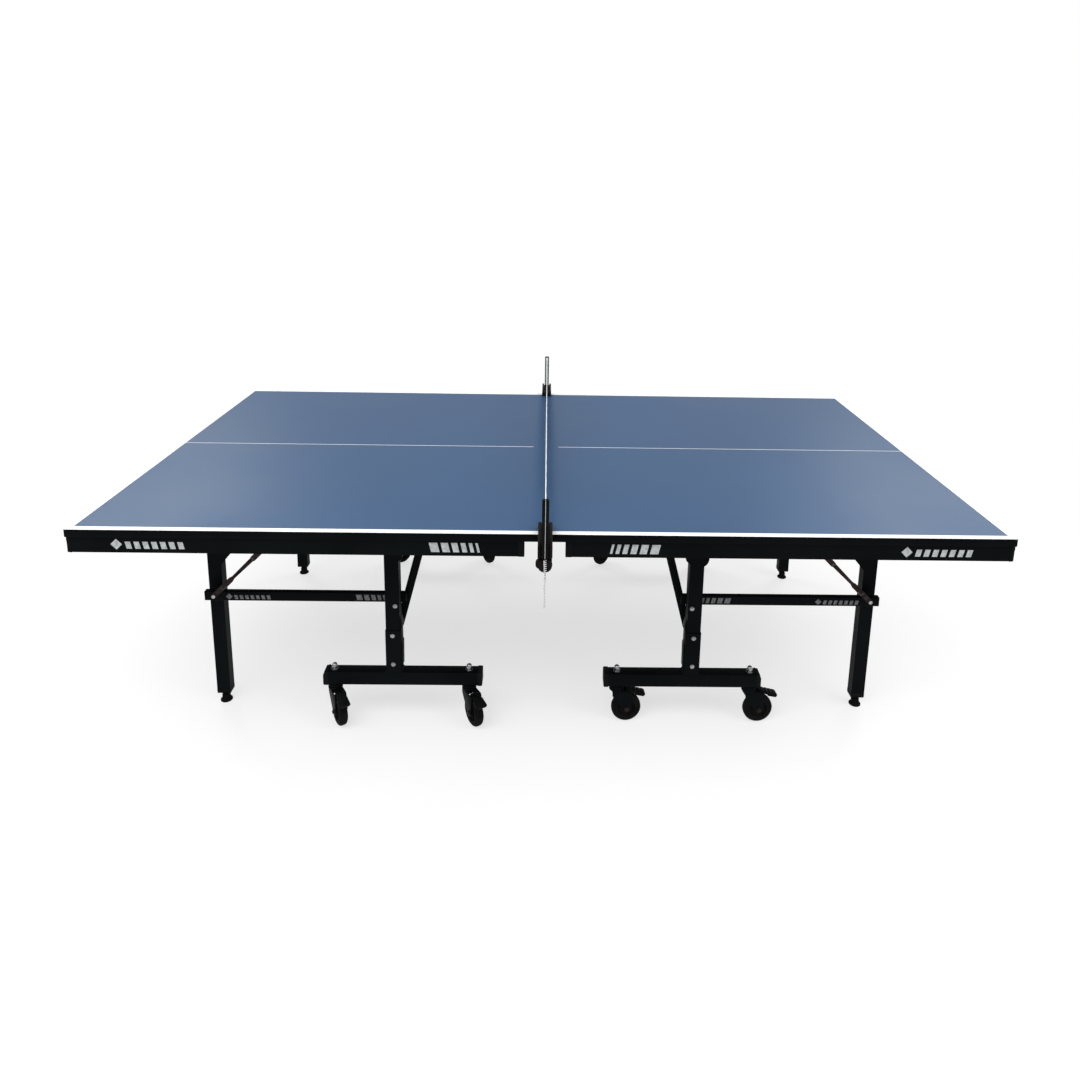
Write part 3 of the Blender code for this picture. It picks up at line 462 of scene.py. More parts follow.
COIL_WIRE = 0.0010
UPPER_TURNS, LOWER_TURNS = 8, 9
tension_cord = line_object("tension_cord", cord_line, CORD_DIAMETER / 2, cord_core)
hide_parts("tension_chain")
upper_line = winding(cord_line, UPPER_TURNS, 0.0032, 0.0030, 0.02, 0.36)
lower_line = winding(cord_line, LOWER_TURNS, 0.0026, 0.0020, 0.38, 0.97)
upper_coil = line_object("tension_cord_coil_upper", upper_line, COIL_WIRE, cord_white)
lower_coil = line_object("tension_cord_coil_lower", lower_line, COIL_WIRE * 0.6, cord_grey)
cord_knot = deliver(make_knot, "tension_cord_knot", cord_grey, "net_assembly", sharp=60)
print("cord declared, wound in", UPPER_TURNS + LOWER_TURNS, "turns")

# %% [markdown]
# ## The boards
#
# Each board is 25 mm thick. Its top is rolled with matt blue paint, a 20 mm white line runs along
# the two side edges and the end, and a 3 mm line down the middle stops short of the net. The edge
# is banded in black and the back is sealed. The lines are real strips of the top face with their
# own paint, so that their borders stay crisp however near the camera comes.

# %% Board paints
BOARD_SHINE = 0.12
board_blue, shader, place = start_finish("board_blue_paint", 0.40)
cloud = grain(place, 2.2, 4.0)
board_colour = blend_colours(cloud, (0.030, 0.074, 0.157), (0.039, 0.088, 0.179), 0.3, 0.7)
connect(board_colour, shader.inputs["Base Color"])
connect(map_range(cloud, 0.3, 0.7, 0.36, 0.46), shader.inputs["Roughness"])
shader.inputs["Specular IOR Level"].default_value = BOARD_SHINE
raise_surface(shader, grain(place, 420, 2.0), 0.00010)

line_white = uneven_finish("line_white_paint", (800, 810, 810), (900, 900, 900), (0.38, 0.48), 420, 80)
edge_black = uneven_finish("edge_band_black", (1.2, 1.9, 2.3), (2.2, 3, 3.4), (0.34, 0.44), 600, 50)
back_sealed = uneven_finish("board_back_sealed", (14, 14, 15), (20, 19.5, 19.5), (0.60, 0.75), 260, 200, 9)

# %% Board mesh
LINE_WIDTH = 0.020
CENTRE_LINE_WIDTH = 0.003
CENTRE_LINE_START = 0.047
BOARD_CORNER = 0.004
BOARD_EASE = 0.0012
BLUE, WHITE, BAND, BACK = range(4)
board_low, board_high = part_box("right_board")


def rise(edge):
    return abs(edge.verts[0].co.z - edge.verts[1].co.z)


def make_board(bm):
    block(bm, board_low, board_high)
    ease_edges(bm, [edge for edge in bm.edges if rise(edge) > 0.01], BOARD_CORNER, 4)
    ease_edges(bm, [edge for edge in bm.edges if rise(edge) < 0.001], BOARD_EASE, 2)
    side, end = board_high.y - LINE_WIDTH, board_high.x - LINE_WIDTH
    cuts = [((0, y, 0), (0, 1, 0)) for y in (-side, -CENTRE_LINE_WIDTH / 2, CENTRE_LINE_WIDTH / 2, side)]
    cuts += [((x, 0, 0), (1, 0, 0)) for x in (end, CENTRE_LINE_START)]
    for point, normal in cuts:
        bmesh.ops.bisect_plane(bm, geom=[*bm.verts, *bm.edges, *bm.faces], plane_co=point, plane_no=normal)
    bmesh.ops.recalc_face_normals(bm, faces=bm.faces)
    for face in bm.faces:
        at = face.calc_center_median()
        on_centre_line = abs(at.y) < CENTRE_LINE_WIDTH / 2 and at.x > CENTRE_LINE_START
        if face.normal.z > 0.3:
            face.material_index = WHITE if abs(at.y) > side or at.x > end or on_centre_line else BLUE
        else:
            face.material_index = BACK if face.normal.z < -0.9 else BAND


board_paints = [board_blue, line_white, edge_black, back_sealed]
place_all((make_board, "_playing_board", board_paints, "_top", "board_blue", "_board"))
print("boards", [round(value, 3) for value in board_high - board_low])

# %% [markdown]
# ## The strips along the split
#
# The boards stay apart at the net so that their edges can swing past each other when a half folds.
# A soft strip on each net edge, blue with a thin black lip, closes most of that opening, so
# that from above only the net's tape and a dark seam show.

# %% Soft strips on the net edges
STRIP_DEPTH = 0.0042
LIP_REACH = 0.0015
LIP_WIDTH = 0.0012
strip_top = board_high.z - 0.0005
strip_reach = board_high.y - BOARD_CORNER - 0.001
strip_inner = LIP_REACH + LIP_WIDTH


def split_strip(bm):
    low = (strip_inner, -strip_reach, strip_top - STRIP_DEPTH)
    eased_bar(bm, low, (board_low.x + 0.0006, strip_reach, strip_top), 0.0005)


def split_lip(bm):
    low = (LIP_REACH, -strip_reach, strip_top - STRIP_DEPTH * 0.7)
    eased_bar(bm, low, (strip_inner + 0.0003, strip_reach, strip_top - 0.0004), 0.0003)


place_all(
    (split_strip, "_split_strip", board_blue, "_top", "board_blue"),
    (split_lip, "_split_lip", moulded_black, "_top", "plastic_black"),
)
print("split strips leave", round(2000 * LIP_REACH, 1), "mm for the net")

# %% [markdown]
# ## The frame under each board
#
# The apron and its cross rails are square tube, welded and powder coated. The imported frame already
# has their walls, ears and pins, so it stays and takes the powder coat. What is missing is what a
# maker adds last: plastic sleeves on the open apron ends, screws up through the rails, and pivot
# bolts. They are separate small meshes that ride with the board.

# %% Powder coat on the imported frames
for half, side_x in HALVES:
    for node in ("_apron_frame", "_trolley_frame", "_leg_frame"):
        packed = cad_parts[half + node]
        packed.data.materials.clear()
        packed.data.materials.append(powder_eased)

# %% Apron sleeves, rail screws and pivot bolts
SLEEVE_LENGTH = 0.016
SLEEVE_WALL = 0.0009
APRON_THICKNESS = 0.020
APRON_HEIGHT = 0.050
FRAME_TOP = board_low.z - 0.0004
RAIL_BOTTOM = FRAME_TOP - 0.015
RAIL_MIDDLES = (0.101, 0.3385, 0.5255, 0.792, 1.075)
SCREW_ROWS = (-0.66, -0.24, 0.24, 0.66)
PIVOT_Z = 0.692
EAR_PIVOTS = ((0.483, 0.5688), (0.792, 0.5315))
apron_low, apron_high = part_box("right_apron_frame")
apron_outside = apron_high.y
cap_bottom = FRAME_TOP - APRON_HEIGHT - SLEEVE_WALL
apron_faces = [
    (side * (apron_outside + SLEEVE_WALL), side * (apron_outside - APRON_THICKNESS - SLEEVE_WALL)) for side in (-1, 1)
]


def apron_sleeves(bm):
    for y0, y1 in apron_faces:
        eased_bar(bm, (apron_low.x - 0.0015, y0, cap_bottom), (apron_low.x + SLEEVE_LENGTH, y1, FRAME_TOP), 0.0012, 3)


def corner_caps(bm):
    """Soft caps over the apron's outer ends, with a belly that leans back under the board."""
    belly = mm((-4.5, 0), (-2.5, 4), (-1.5, 30), (0.8, 36))
    outline = [(apron_high.x - 0.012, FRAME_TOP), (apron_high.x - 0.012, cap_bottom)]
    outline += [(apron_high.x + x, cap_bottom + z) for x, z in belly] + [(apron_high.x + 0.0008, FRAME_TOP)]
    for y0, y1 in apron_faces:
        eased_plate(bm, outline, y0, y1, 0.0012, 3)


def rail_screws(bm):
    for x in RAIL_MIDDLES:
        for y in SCREW_ROWS:
            button_head(bm, (x, y, RAIL_BOTTOM), (0, 0, -1), 0.0048, 0.0026)


def ear_bolts(bm):
    for x, y in EAR_PIVOTS:
        for side in (-1, 1):
            button_head(bm, (x, side * y, PIVOT_Z), (0, side, 0), 0.0075, 0.0036)


place_all(
    (apron_sleeves, "_apron_sleeves", moulded_black, "_top", "frame_black"),
    (corner_caps, "_corner_caps", moulded_black, "_top", "frame_black"),
    (rail_screws, "_rail_screws", screw_dark, "_top", "frame_black"),
    (ear_bolts, "_ear_bolts", zinc_bright, "_top", "frame_black"),
)
print("apron outside at", round(apron_outside, 4), "and its net end at", round(apron_low.x, 4))

# %% [markdown]
# ## Printed marks
#
# The aprons and the link bars carry pale printed marks. On the link bars, which sit in the shade
# under the board, the print is painted darker: painted shade. Here they are plain generic shapes,
# a lozenge and rows of leaning bars, that spell nothing. They could be painted by a texture, but
# thin raised shapes keep sharp edges and stay in place when the table folds.

# %% Marks on the aprons and link bars
print_pale = uneven_finish("print_pale", (300, 320, 330), (440, 460, 470), (0.45, 0.60), 900, 50, 120)
# The link bars' marks are the same pale print with painted shade, darker for the shade under the board.
print_pale_shaded = uneven_finish("print_pale_shaded", (85, 90, 92), (150, 155, 158), (0.45, 0.60), 900, 50, 120)
MARK_RISE = 0.00025
LEAN = 0.22
APRON_MARK_Z = 0.7105
LINK_Z = 0.420
link_low, link_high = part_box("right_far_link_bar")


def bar_row(bm, start, end, z, height, y, widths):
    """Bars that lean to the right between two places, with even gaps between them."""
    gap = (end - start - sum(widths)) / (len(widths) - 1)
    shift = LEAN * height / 2
    x = start
    for width in widths:
        outline = [(x - shift, z - height / 2), (x + width - shift, z - height / 2)]
        outline += [(x + width + shift, z + height / 2), (x + shift, z + height / 2)]
        eased_plate(bm, outline, y - MARK_RISE, y + MARK_RISE, 0)
        x += width + gap


def wide_mark(bm, start, end, z, height, y, mirror):
    """A lozenge, then a row of bars that are all alike."""
    size = height / 2
    x = end - size if mirror else start + size
    first, last = (start, end - 2.6 * size) if mirror else (start + 2.6 * size, end)
    bar_row(bm, first, last, z - height * 0.08, height * 0.66, y, [(end - start) * 0.075] * 7)
    lozenge = [(x - size, z), (x, z - size), (x + size, z), (x, z + size)]
    eased_plate(bm, lozenge, y - MARK_RISE, y + MARK_RISE, 0)


def narrow_mark(bm, start, end, z, height, y):
    """A row of bars that grow wider."""
    bar_row(bm, start, end, z, height, y, [(end - start) * share for share in (0.05, 0.075, 0.10, 0.125, 0.15, 0.175)])


def apron_marks(bm, mirror):
    wide_mark(bm, 1.037, 1.245, APRON_MARK_Z, 0.033, apron_outside, mirror)
    narrow_mark(bm, 0.191, 0.332, APRON_MARK_Z, 0.029, apron_outside)


def link_marks(bm, mirror):
    wide_mark(bm, 0.883, 1.025, LINK_Z - 0.001, 0.021, link_high.y, mirror)
    narrow_mark(bm, 0.500, 0.606, LINK_Z, 0.019, link_high.y)


# The lozenge comes first from the left on both halves, so its place in the row changes with the half.
for half, side_x in HALVES:
    for side, side_y in SIDES:
        for make, name, finish, body in (
            (apron_marks, f"{half}_{side}_apron_marks", print_pale, half + "_top"),
            (link_marks, f"{half}_{side}_link_marks", print_pale_shaded, f"{half}_{side}_link"),
        ):
            deliver(lambda bm: make(bm, side_x < 0), name, finish, body, (), side_x, side_y)

# %% [markdown]
# ## Link bars and struts
#
# The link bar keeps the leg parallel to the upright while the table folds. It is a rectangular
# tube with a plastic plug in each end. The strut is a flatter tube with soft corners that braces
# the frame from the upright. The link bar is drawn as open tube and the strut as a solid bar with
# well rounded edges, because their long edges are what shows against the light.

# %% Link bars
TUBE_WALL = 0.002
PLUG_LIP = 0.0022
PLUG_INSET = Vector((0, 0.0005, 0.0005))


def link_tube(bm):
    middle, size = (link_low + link_high) / 2, link_high - link_low
    ends = [(x, middle.y, middle.z) for x in (link_low.x, link_high.x)]
    square_tube(bm, *ends, size.z, size.y, TUBE_WALL)


def link_plugs(bm):
    """A plastic plug with a soft lip in either end of the tube."""
    for face, outward in ((link_low.x, -1), (link_high.x, 1)):
        low, high = link_low + PLUG_INSET, link_high - PLUG_INSET
        low.x, high.x = face, face + outward * PLUG_LIP
        eased_bar(bm, low, high, PLUG_LIP * 0.45, 3)


place_all(
    (link_tube, "link_tube", powder_black, "link", "frame_black", "link_bar"),
    (link_plugs, "link_plugs", moulded_black, "link", "frame_black"),
)
print("link bars", round(link_high.x - link_low.x, 3), "m long")

# %% Struts
STRUT_FOOT = (0.473, 0.312)
STRUT_TOP = (0.3725, PIVOT_Z)
STRUT_HALF_WIDTH = 0.0128
strut_low, strut_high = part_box("right_far_strut")


def strut_tube(bm):
    outline = round_bar_outline(STRUT_FOOT, STRUT_TOP, STRUT_HALF_WIDTH)
    eased_plate(bm, outline, strut_low.y, strut_high.y, 0.0035, 4)


def strut_rivets(bm):
    for x, z in (STRUT_FOOT, STRUT_TOP):
        rivet_head(bm, (x, strut_low.y, z), (0, -1, 0), 0.008, 0.0014)


place_all(
    (strut_tube, "strut_tube", powder_black, "strut_body", "frame_black", "strut"),
    (strut_rivets, "strut_rivets", zinc_bright, "strut_body", "frame_black"),
)

# %% [markdown]
# ## Folding stays
#
# A stay is what holds the leg open: two plated steel arms with a knee between them. The lower arm
# is a wide channel near the leg, with a small hooked lock lever riveted on it, and slims down
# towards the knee. A flat bar would do, but the step in width and the lever are what the eye finds.

# %% Stay arms
LEG_X, LEG_PIVOT_X = 1.075, 1.064
STAY_TOP_X = 0.792
LOW_PIVOT, HIGH_PIVOT = Vector((LEG_PIVOT_X, LINK_Z)), Vector((STAY_TOP_X, PIVOT_Z))
KNEE = (LOW_PIVOT + HIGH_PIVOT) / 2
CHANNEL_SHARE, SLIM_SHARE = 0.44, 0.50
CHANNEL_HALF, SLIM_HALF, KNEE_EYE = 0.0085, 0.0052, 0.0075
lower_low, lower_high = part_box("right_far_stay_lower")
upper_low, upper_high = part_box("right_far_stay_upper")


def on_arm(share, offset):
    """A point at a share of the way along the lower arm, pushed sideways."""
    along = (KNEE - LOW_PIVOT).normalized()
    return tuple(LOW_PIVOT.lerp(KNEE, share) + Vector((-along.y, along.x)) * offset)


def raised_patch(bm, start, end, low, high, y0, y1, ease):
    """A rectangle that stands out of the lower arm between two shares of its length."""
    outline = [on_arm(start, low), on_arm(end, low), on_arm(end, high), on_arm(start, high)]
    eased_plate(bm, outline, y0, y1, ease)


def stay_channel(bm):
    """The lower arm is wide up to a share of its length, then slim, and has a round eye at each end."""
    lean = atan2(KNEE.y - LOW_PIVOT.y, KNEE.x - LOW_PIVOT.x)
    outline = arc(LOW_PIVOT, CHANNEL_HALF, lean + pi / 2, pi, 8)
    outline += [on_arm(CHANNEL_SHARE, -CHANNEL_HALF), on_arm(SLIM_SHARE, -SLIM_HALF)]
    outline += arc(KNEE, KNEE_EYE, lean - pi * 0.6, pi * 1.2, 8)
    outline += [on_arm(SLIM_SHARE, SLIM_HALF), on_arm(CHANNEL_SHARE, CHANNEL_HALF)]
    eased_plate(bm, outline, lower_low.y, lower_high.y, 0.0008)
    for rib in (-0.0066, 0.0066):
        raised_patch(bm, 0.05, 0.42, rib - 0.0012, rib + 0.0012, lower_high.y - 0.0004, lower_high.y + 0.0009, 0.0004)


def stay_lever(bm):
    """The hooked lever and the two slots' raised rims near the leg end of the lower arm."""
    y = lower_high.y
    hook = [(0.205, -0.0075), (0.215, 0.0080), (0.290, 0.0085), (0.315, 0.0050), (0.300, 0.0020)]
    hook += [(0.275, 0.0045), (0.240, 0.0045), (0.235, -0.0070)]
    eased_plate(bm, [on_arm(share, side) for share, side in hook], y, y + 0.0011, 0.0003)
    for share in (0.10, 0.135):
        raised_patch(bm, share, share + 0.012, -0.005, 0.005, y, y + 0.0006, 0.0002)


def stay_arm(bm):
    eased_plate(bm, round_bar_outline(KNEE, HIGH_PIVOT, 0.009), upper_low.y, upper_high.y, 0.0008)


def knee_rivet(bm):
    rivet_head(bm, (KNEE.x, upper_high.y, KNEE.y), (0, 1, 0), 0.0050, 0.0014)


place_all(
    (stay_channel, "stay_channel", plated_brown, "stay_low", "stay_brown", "stay_lower"),
    (stay_lever, "stay_lever", screw_dark, "stay_low", "stay_brown"),
    (stay_arm, "stay_arm", plated_brown, "stay_up", "stay_brown", "stay_upper"),
    (knee_rivet, "knee_rivet", screw_dark, "stay_up", "stay_brown"),
)
print("stay arms", round((KNEE - LOW_PIVOT).length, 4), "m between pivots")

# %% [markdown]
# ## T-feet
#
# Each T-foot is a wide tube that carries two casters, with a sleeve welded on top. The upright
# slides into the sleeve and two bolts go through both. The tube ends are closed by plastic caps
# whose upper corner is cut away, so that shins meet no sharp edge.

# %% T-foot tube, sleeve and caps
UPRIGHT_X, UPRIGHT_Y = 0.483, 0.5425
STEM_INNER_X, STEM_OUTER_X = 0.2415, 0.6785
FOOT_HEIGHT = 0.045
FOOT_TOP = 0.180
FOOT_BOTTOM = FOOT_TOP - FOOT_HEIGHT
SLEEVE_SIZE = (0.050, 0.045)
SLEEVE_STEEL = 0.002
SLEEVE_BOLTS_Z = (0.312, 0.211)
STEM_RADIUS = 0.006
CAP_LIP = 0.0035
foot_low, foot_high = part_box("right_far_t_foot")


def foot_and_sleeve(bm):
    ends = [(x, UPRIGHT_Y, FOOT_TOP - FOOT_HEIGHT / 2) for x in (foot_low.x, foot_high.x)]
    square_tube(bm, *ends, FOOT_HEIGHT, SLEEVE_SIZE[1], SLEEVE_STEEL, 0.004)
    ends = [(UPRIGHT_X, UPRIGHT_Y, z) for z in (FOOT_TOP - 0.001, foot_high.z)]
    square_tube(bm, *ends, *SLEEVE_SIZE, SLEEVE_STEEL, 0.0035)
    for side in (-1, 1):
        bead = [(24.5, -0.5), (29, -0.5), (24.5, 4)]
        outline = [(UPRIGHT_X + side * x / 1000, FOOT_TOP + z / 1000) for x, z in bead]
        eased_plate(bm, outline, UPRIGHT_Y - 0.020, UPRIGHT_Y + 0.020, 0)
    for x in (STEM_INNER_X, STEM_OUTER_X):
        disc(bm, STEM_RADIUS, 0, 0.034, (x, UPRIGHT_Y, 0.103), steps=14)
        disc(bm, 0.020, 0, 0.0012, (x, UPRIGHT_Y, FOOT_BOTTOM - 0.0010))


def foot_caps(bm):
    top, bottom = FOOT_TOP + 0.0006, FOOT_BOTTOM - 0.0006
    for face, outward, cut in ((foot_low.x, -1, 0.003), (foot_high.x, 1, 0.011)):
        inner, outer = face - outward * 0.012, face + outward * CAP_LIP
        outline = [(inner, bottom), (outer - outward * 0.002, bottom), (outer, FOOT_BOTTOM + 0.003)]
        outline += [(outer, top - cut), (outer - outward * cut, top), (inner, top)]
        eased_plate(bm, outline, foot_low.y - 0.0004, foot_high.y + 0.0004, 0.0010, 3)


def foot_hardware(bm):
    for x in (STEM_INNER_X, STEM_OUTER_X):
        acorn_nut(bm, (x, UPRIGHT_Y, FOOT_TOP))
    for z in SLEEVE_BOLTS_Z:
        hexagon_head(bm, (UPRIGHT_X + 0.001, foot_high.y, z), (0, 1, 0))


place_all(
    (foot_and_sleeve, "foot_and_sleeve", powder_black, "_trolley", "frame_black", "t_foot"),
    (foot_caps, "foot_caps", moulded_black, "_trolley", "plastic_black"),
    (foot_hardware, "foot_hardware", zinc_bright, "_trolley", "frame_black"),
)
print("T-feet run from", round(foot_low.x, 3), "to", round(foot_high.x, 3))

# %% Bolts on the uprights and legs
UPRIGHT_FACE = 0.5625
UPRIGHT_BOLT_X, UPRIGHT_BOLT_Z = 0.474, 0.4155
BRACKET_Z = (0.196, 0.372)
RAIL_REST_Z = (0.287, 0.333)


def upright_bolts(bm):
    for side in (-1, 1):
        hexagon_head(bm, (UPRIGHT_BOLT_X, side * UPRIGHT_FACE, UPRIGHT_BOLT_Z), (0, side, 0))


def strut_brackets(bm):
    """The folded plates that the struts' feet bear on. A notch clears the net rail of the folded table."""
    face = UPRIGHT_X - SLEEVE_SIZE[0] / 2
    profile = [(1.5, BRACKET_Z[0]), (-3.5, BRACKET_Z[0] + 0.004), (-4.5, RAIL_REST_Z[0] - 0.006)]
    profile += [(-1.8, RAIL_REST_Z[0]), (-1.8, RAIL_REST_Z[1]), (-4, RAIL_REST_Z[1] + 0.006)]
    profile += [(-3.6, 0.352), (1.5, BRACKET_Z[1]), (2.6, BRACKET_Z[1]), (2.6, 0.332)]
    for side in (-1, 1):
        outline = [(face + x / 1000, z) for x, z in profile]
        eased_plate(bm, outline, side * (UPRIGHT_Y - 0.016), side * (UPRIGHT_Y + 0.016))


def leg_rivets(bm):
    for side in (-1, 1):
        rivet_head(bm, (LEG_PIVOT_X, side * lower_high.y, LINK_Z), (0, side, 0), 0.0064, 0.0013)


place_all(
    (upright_bolts, "_upright_bolts", zinc_bright, "_trolley", "frame_black"),
    (strut_brackets, "_strut_brackets", powder_black, "_trolley", "frame_black"),
    (leg_rivets, "_leg_rivets", zinc_bright, "_legs", "frame_black"),
)

# %% [markdown]
# ## Legs and levelling feet
#
# The outer legs end in a plastic boot with a threaded foot that screws up and down. The foot is a
# turned part: a flared rubber pad, a ribbed neck to grip, and a thread. A thread is a helix, but
# at this size rings one pitch apart look the same and are far lighter.

# %% Leg boots and levelling feet
LEG_Y = 0.452
LEG_WIDTH, LEG_DEPTH = 0.044, 0.036
THREAD_PITCH = 0.0015
NECK_RIBS = 16
leg_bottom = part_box("right_leg_frame")[0].z


def leg_boots(bm):
    bottom = rounded_loop(LEG_WIDTH - 0.008, LEG_DEPTH - 0.008, 0.004)
    rim = rounded_loop(LEG_WIDTH + 0.0016, LEG_DEPTH + 0.0016, 0.002)
    mouth = rounded_loop(LEG_WIDTH, LEG_DEPTH, 0.001)
    for side in (-1, 1):
        middle = Vector((LEG_X, side * LEG_Y, leg_bottom))
        levels = ((bottom, -0.001), (rim, 0.006), (rim, 0.015), (mouth, 0.0154))
        join_rings(bm, [[middle + Vector((a, b, z)) for a, b in loop] for loop, z in levels])


def level_pad(bm):
    profile = mm((0, 0), (18.5, 0), (19.5, 1.2), (19.5, 4.2), (18, 6), (13.8, 8.5), (12.6, 12), (12.6, 24))
    turned(bm, profile + mm((11.5, 26.2), (7.8, 26.8), (7.8, 30), (0, 30)), (LEG_X, LEG_Y, 0), steps=28)
    for x, y in arc((LEG_X, LEG_Y), 0.0124, 0, 2 * pi, NECK_RIBS)[:-1]:
        turned(bm, mm((0, 9.5), (1.1, 10.5), (1.1, 23.2), (0, 24.2)), (x, y, 0), steps=6)


def level_thread(bm):
    profile = [(0, 0.0295)]
    for turn in range(26):
        z = 0.0300 + turn * THREAD_PITCH
        profile += [(0.0042, z), (0.0050, z + THREAD_PITCH / 2)]
    turned(bm, profile + mm((4.2, 74.5), (0, 75)), (LEG_X, LEG_Y, 0), steps=16)


place_all(
    (leg_boots, "_leg_boots", moulded_black, "_legs", "plastic_black"),
    (level_pad, "level_pad", caster_rubber, "level", "plastic_black", "levelling_foot"),
    (level_thread, "level_thread", screw_dark, "level", "plastic_black"),
)
print("legs end", round(leg_bottom, 3), "m above the floor")

# %% [markdown]
# ## Casters
#
# A caster has a swivel head with a ball race, a pressed steel fork, and a rubber wheel on a
# bolted axle. The two near ones of each half carry a stepped foot pedal over the wheel. Each
# caster is drawn once about its own stem, with the wheel trailing along +X, and is then turned to
# the way it happens to stand. The wheel is its own piece, because it rolls inside the fork.

# %% Caster shapes
TRAIL = 0.034
WHEEL_RADIUS = 0.049
WHEEL_HALF = 0.014
FORK_INSIDE = 0.0165
FORK_OUTSIDE = 0.0195
CROWN_BOTTOM = 0.102
HINGE_X, HINGE_Z = 0.040, 0.110
AXLE_AT = Vector((TRAIL, 0, WHEEL_RADIUS))
SPOKES = 6


def make_fork(bm):
    outline = mm((-14.5, 114), (-14.5, 99), (-9.5, 90))
    outline += arc((TRAIL, WHEEL_RADIUS), 0.0135, radians(196), radians(148), 10)
    outline += mm((50.5, 92), (50, 106), (46, 114))
    for side in (-1, 1):
        eased_plate(bm, outline, side * FORK_INSIDE, side * FORK_OUTSIDE, 0.0008)
    crown = [(-0.0150, -FORK_OUTSIDE, CROWN_BOTTOM + 0.006), (0.0260, FORK_OUTSIDE, CROWN_BOTTOM + 0.013)]
    eased_bar(bm, *crown, 0.003, 3)
    race = mm((6.1, 114.5), (21.5, 114.5), (23.5, 116.5), (23.5, 121), (22, 122.5), (20.5, 123.2), (22, 124))
    race += mm((23.5, 125.5), (23, 130), (18, 133.5), (6.1, 133.5))
    turned(bm, race + race[:1], (0, 0, 0), steps=32)
    disc(bm, 0.003, -FORK_OUTSIDE, FORK_OUTSIDE, (HINGE_X, 0, HINGE_Z), (0, 1, 0), 12)


def make_axle(bm):
    disc(bm, 0.0048, -FORK_OUTSIDE, FORK_OUTSIDE, AXLE_AT, (0, 1, 0), 16)
    for side in (-1, 1):
        at = AXLE_AT + Vector((0, side * FORK_OUTSIDE, 0))
        disc(bm, 0.0085, 0, 0.0010, at, (0, side, 0), 20)
        turned(bm, mm((0, 0.8), (6.6, 0.8), (6.6, 4), (5.8, 5), (0, 5)), at, (0, side, 0), 6)


def make_wheel(bm):
    """Tyre with a rounded tread, a ring groove on each face, and a raised hub."""
    face = mm((5.6, 14), (11.8, 14), (13.8, 12.8), (14.2, 8.2), (26.5, 7.6), (28.5, 9), (29.2, 12.6))
    face += mm((30.5, 13.6), (37.2, 13.6), (38.2, 12.4), (39.4, 13.6), (42.5, 13), (46.2, 10.4))
    face += mm((48.3, 6.8), (48.9, 1.4), (48.6, 0.6))
    profile = face + [(radius, -height) for radius, height in reversed(face)] + face[:1]
    turned(bm, profile, AXLE_AT, (0, 1, 0), 48)
    for spoke in range(SPOKES):
        turn = Matrix.Translation(AXLE_AT) @ Matrix.Rotation(2 * pi * spoke / SPOKES, 4, "Y")
        before = set(bm.verts)
        for side in (-1, 1):
            low, high = side * (WHEEL_HALF - 0.0068), side * (WHEEL_HALF - 0.0036)
            eased_bar(bm, (0.0128, low, -0.0016), (0.0288, high, 0.0016), 0.0006)
        bmesh.ops.transform(bm, matrix=turn, verts=[v for v in bm.verts if v not in before])


def make_pedal(bm):
    """A foot plate hinged over the wheel, with three steps to grip a shoe."""
    outline = mm((33, 114.5), (48, 114.5))
    for x, z in ((56, 110), (68.5, 106.5), (81, 103)):
        outline += mm((x, z), (x + 1.5, z + 1.6), (x + 10, z - 1))
    outline += mm((95.5, 98.5), (92.5, 92.5), (70, 98.5), (52, 104.5), (33, 104.5))
    eased_plate(bm, outline, -WHEEL_HALF, WHEEL_HALF, 0.0009)
    flange = mm((58, 106), (90, 98.5), (90, 92.5), (62, 99))
    for low, high in ((-0.0172, -0.0140), (0.0130, 0.0182)):
        eased_plate(bm, flange, low, high)


# %% Place the casters
HEADINGS = {
    ("left", "near"): (-58.0, -58.0),
    ("right", "near"): (4.0, 4.0),
    ("left", "far"): (121.0, 47.0),
    ("right", "far"): (47.0, -8.0),
}
for (half, side), headings in HEADINGS.items():
    for end, stem_x, heading in zip(("inner", "outer"), (STEM_INNER_X, STEM_OUTER_X), headings):
        where = f"{half}_{side}_{end}_"
        stem = Vector((dict(HALVES)[half] * stem_x, dict(SIDES)[side] * UPRIGHT_Y, 0))
        stand = Matrix.Translation(stem) @ Matrix.Rotation(radians(heading), 4, "Z")
        shapes = [
            (make_fork, "fork", powder_black, "caster", "frame_black", [where + "caster_fork"]),
            (make_axle, "axle", plated_brown, "caster", "frame_black", []),
            (make_wheel, "wheel", caster_rubber, "caster_roller", "wheel_black", [where + "caster_wheel"]),
            (make_pedal, "pedal", moulded_black, "pedal", "plastic_black", [where + "brake_pedal"]),
        ]
        for make, name, finish, body, slot, replaced in shapes if side == "near" else shapes[:3]:
            deliver(make, where + name, finish, where + body, replaced, stand=stand)
print("casters placed:", 2 * len(HEADINGS))

# %% [markdown]
# ## The net
#
# The net is knotted twine with square meshes of about 12 mm, black, with a white tape folded over
# its top cord and a black tape down each end. It is stretched flat between the posts. A plane with
# holes painted in would vanish edge on, and this table is seen along its net, so every twine is a
# thin bar of its own with a knot at each crossing.

# %% Twine, knots and tapes
net_black = uneven_finish("net_twine_black", (5, 5, 6), (12, 12, 13), (0.75, 0.90), 1200, 100, 300)
tape_white = uneven_finish("tape_white", (740, 750, 760), (880, 880, 870), (0.60, 0.75), 1100, 100, 60)
NET_MESH = 0.0124
TWINE = 0.0011
KNOT = TWINE * 0.85
TAPE_HEIGHT = 0.015
TAPE_HALF = 0.0011
END_TAPE = 0.022
net_low, net_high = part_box("net")
net_width, net_rise = net_high.y - net_low.y, net_high.z - TAPE_HEIGHT - net_low.z
columns, rows = round(net_width / NET_MESH), round(net_rise / NET_MESH)


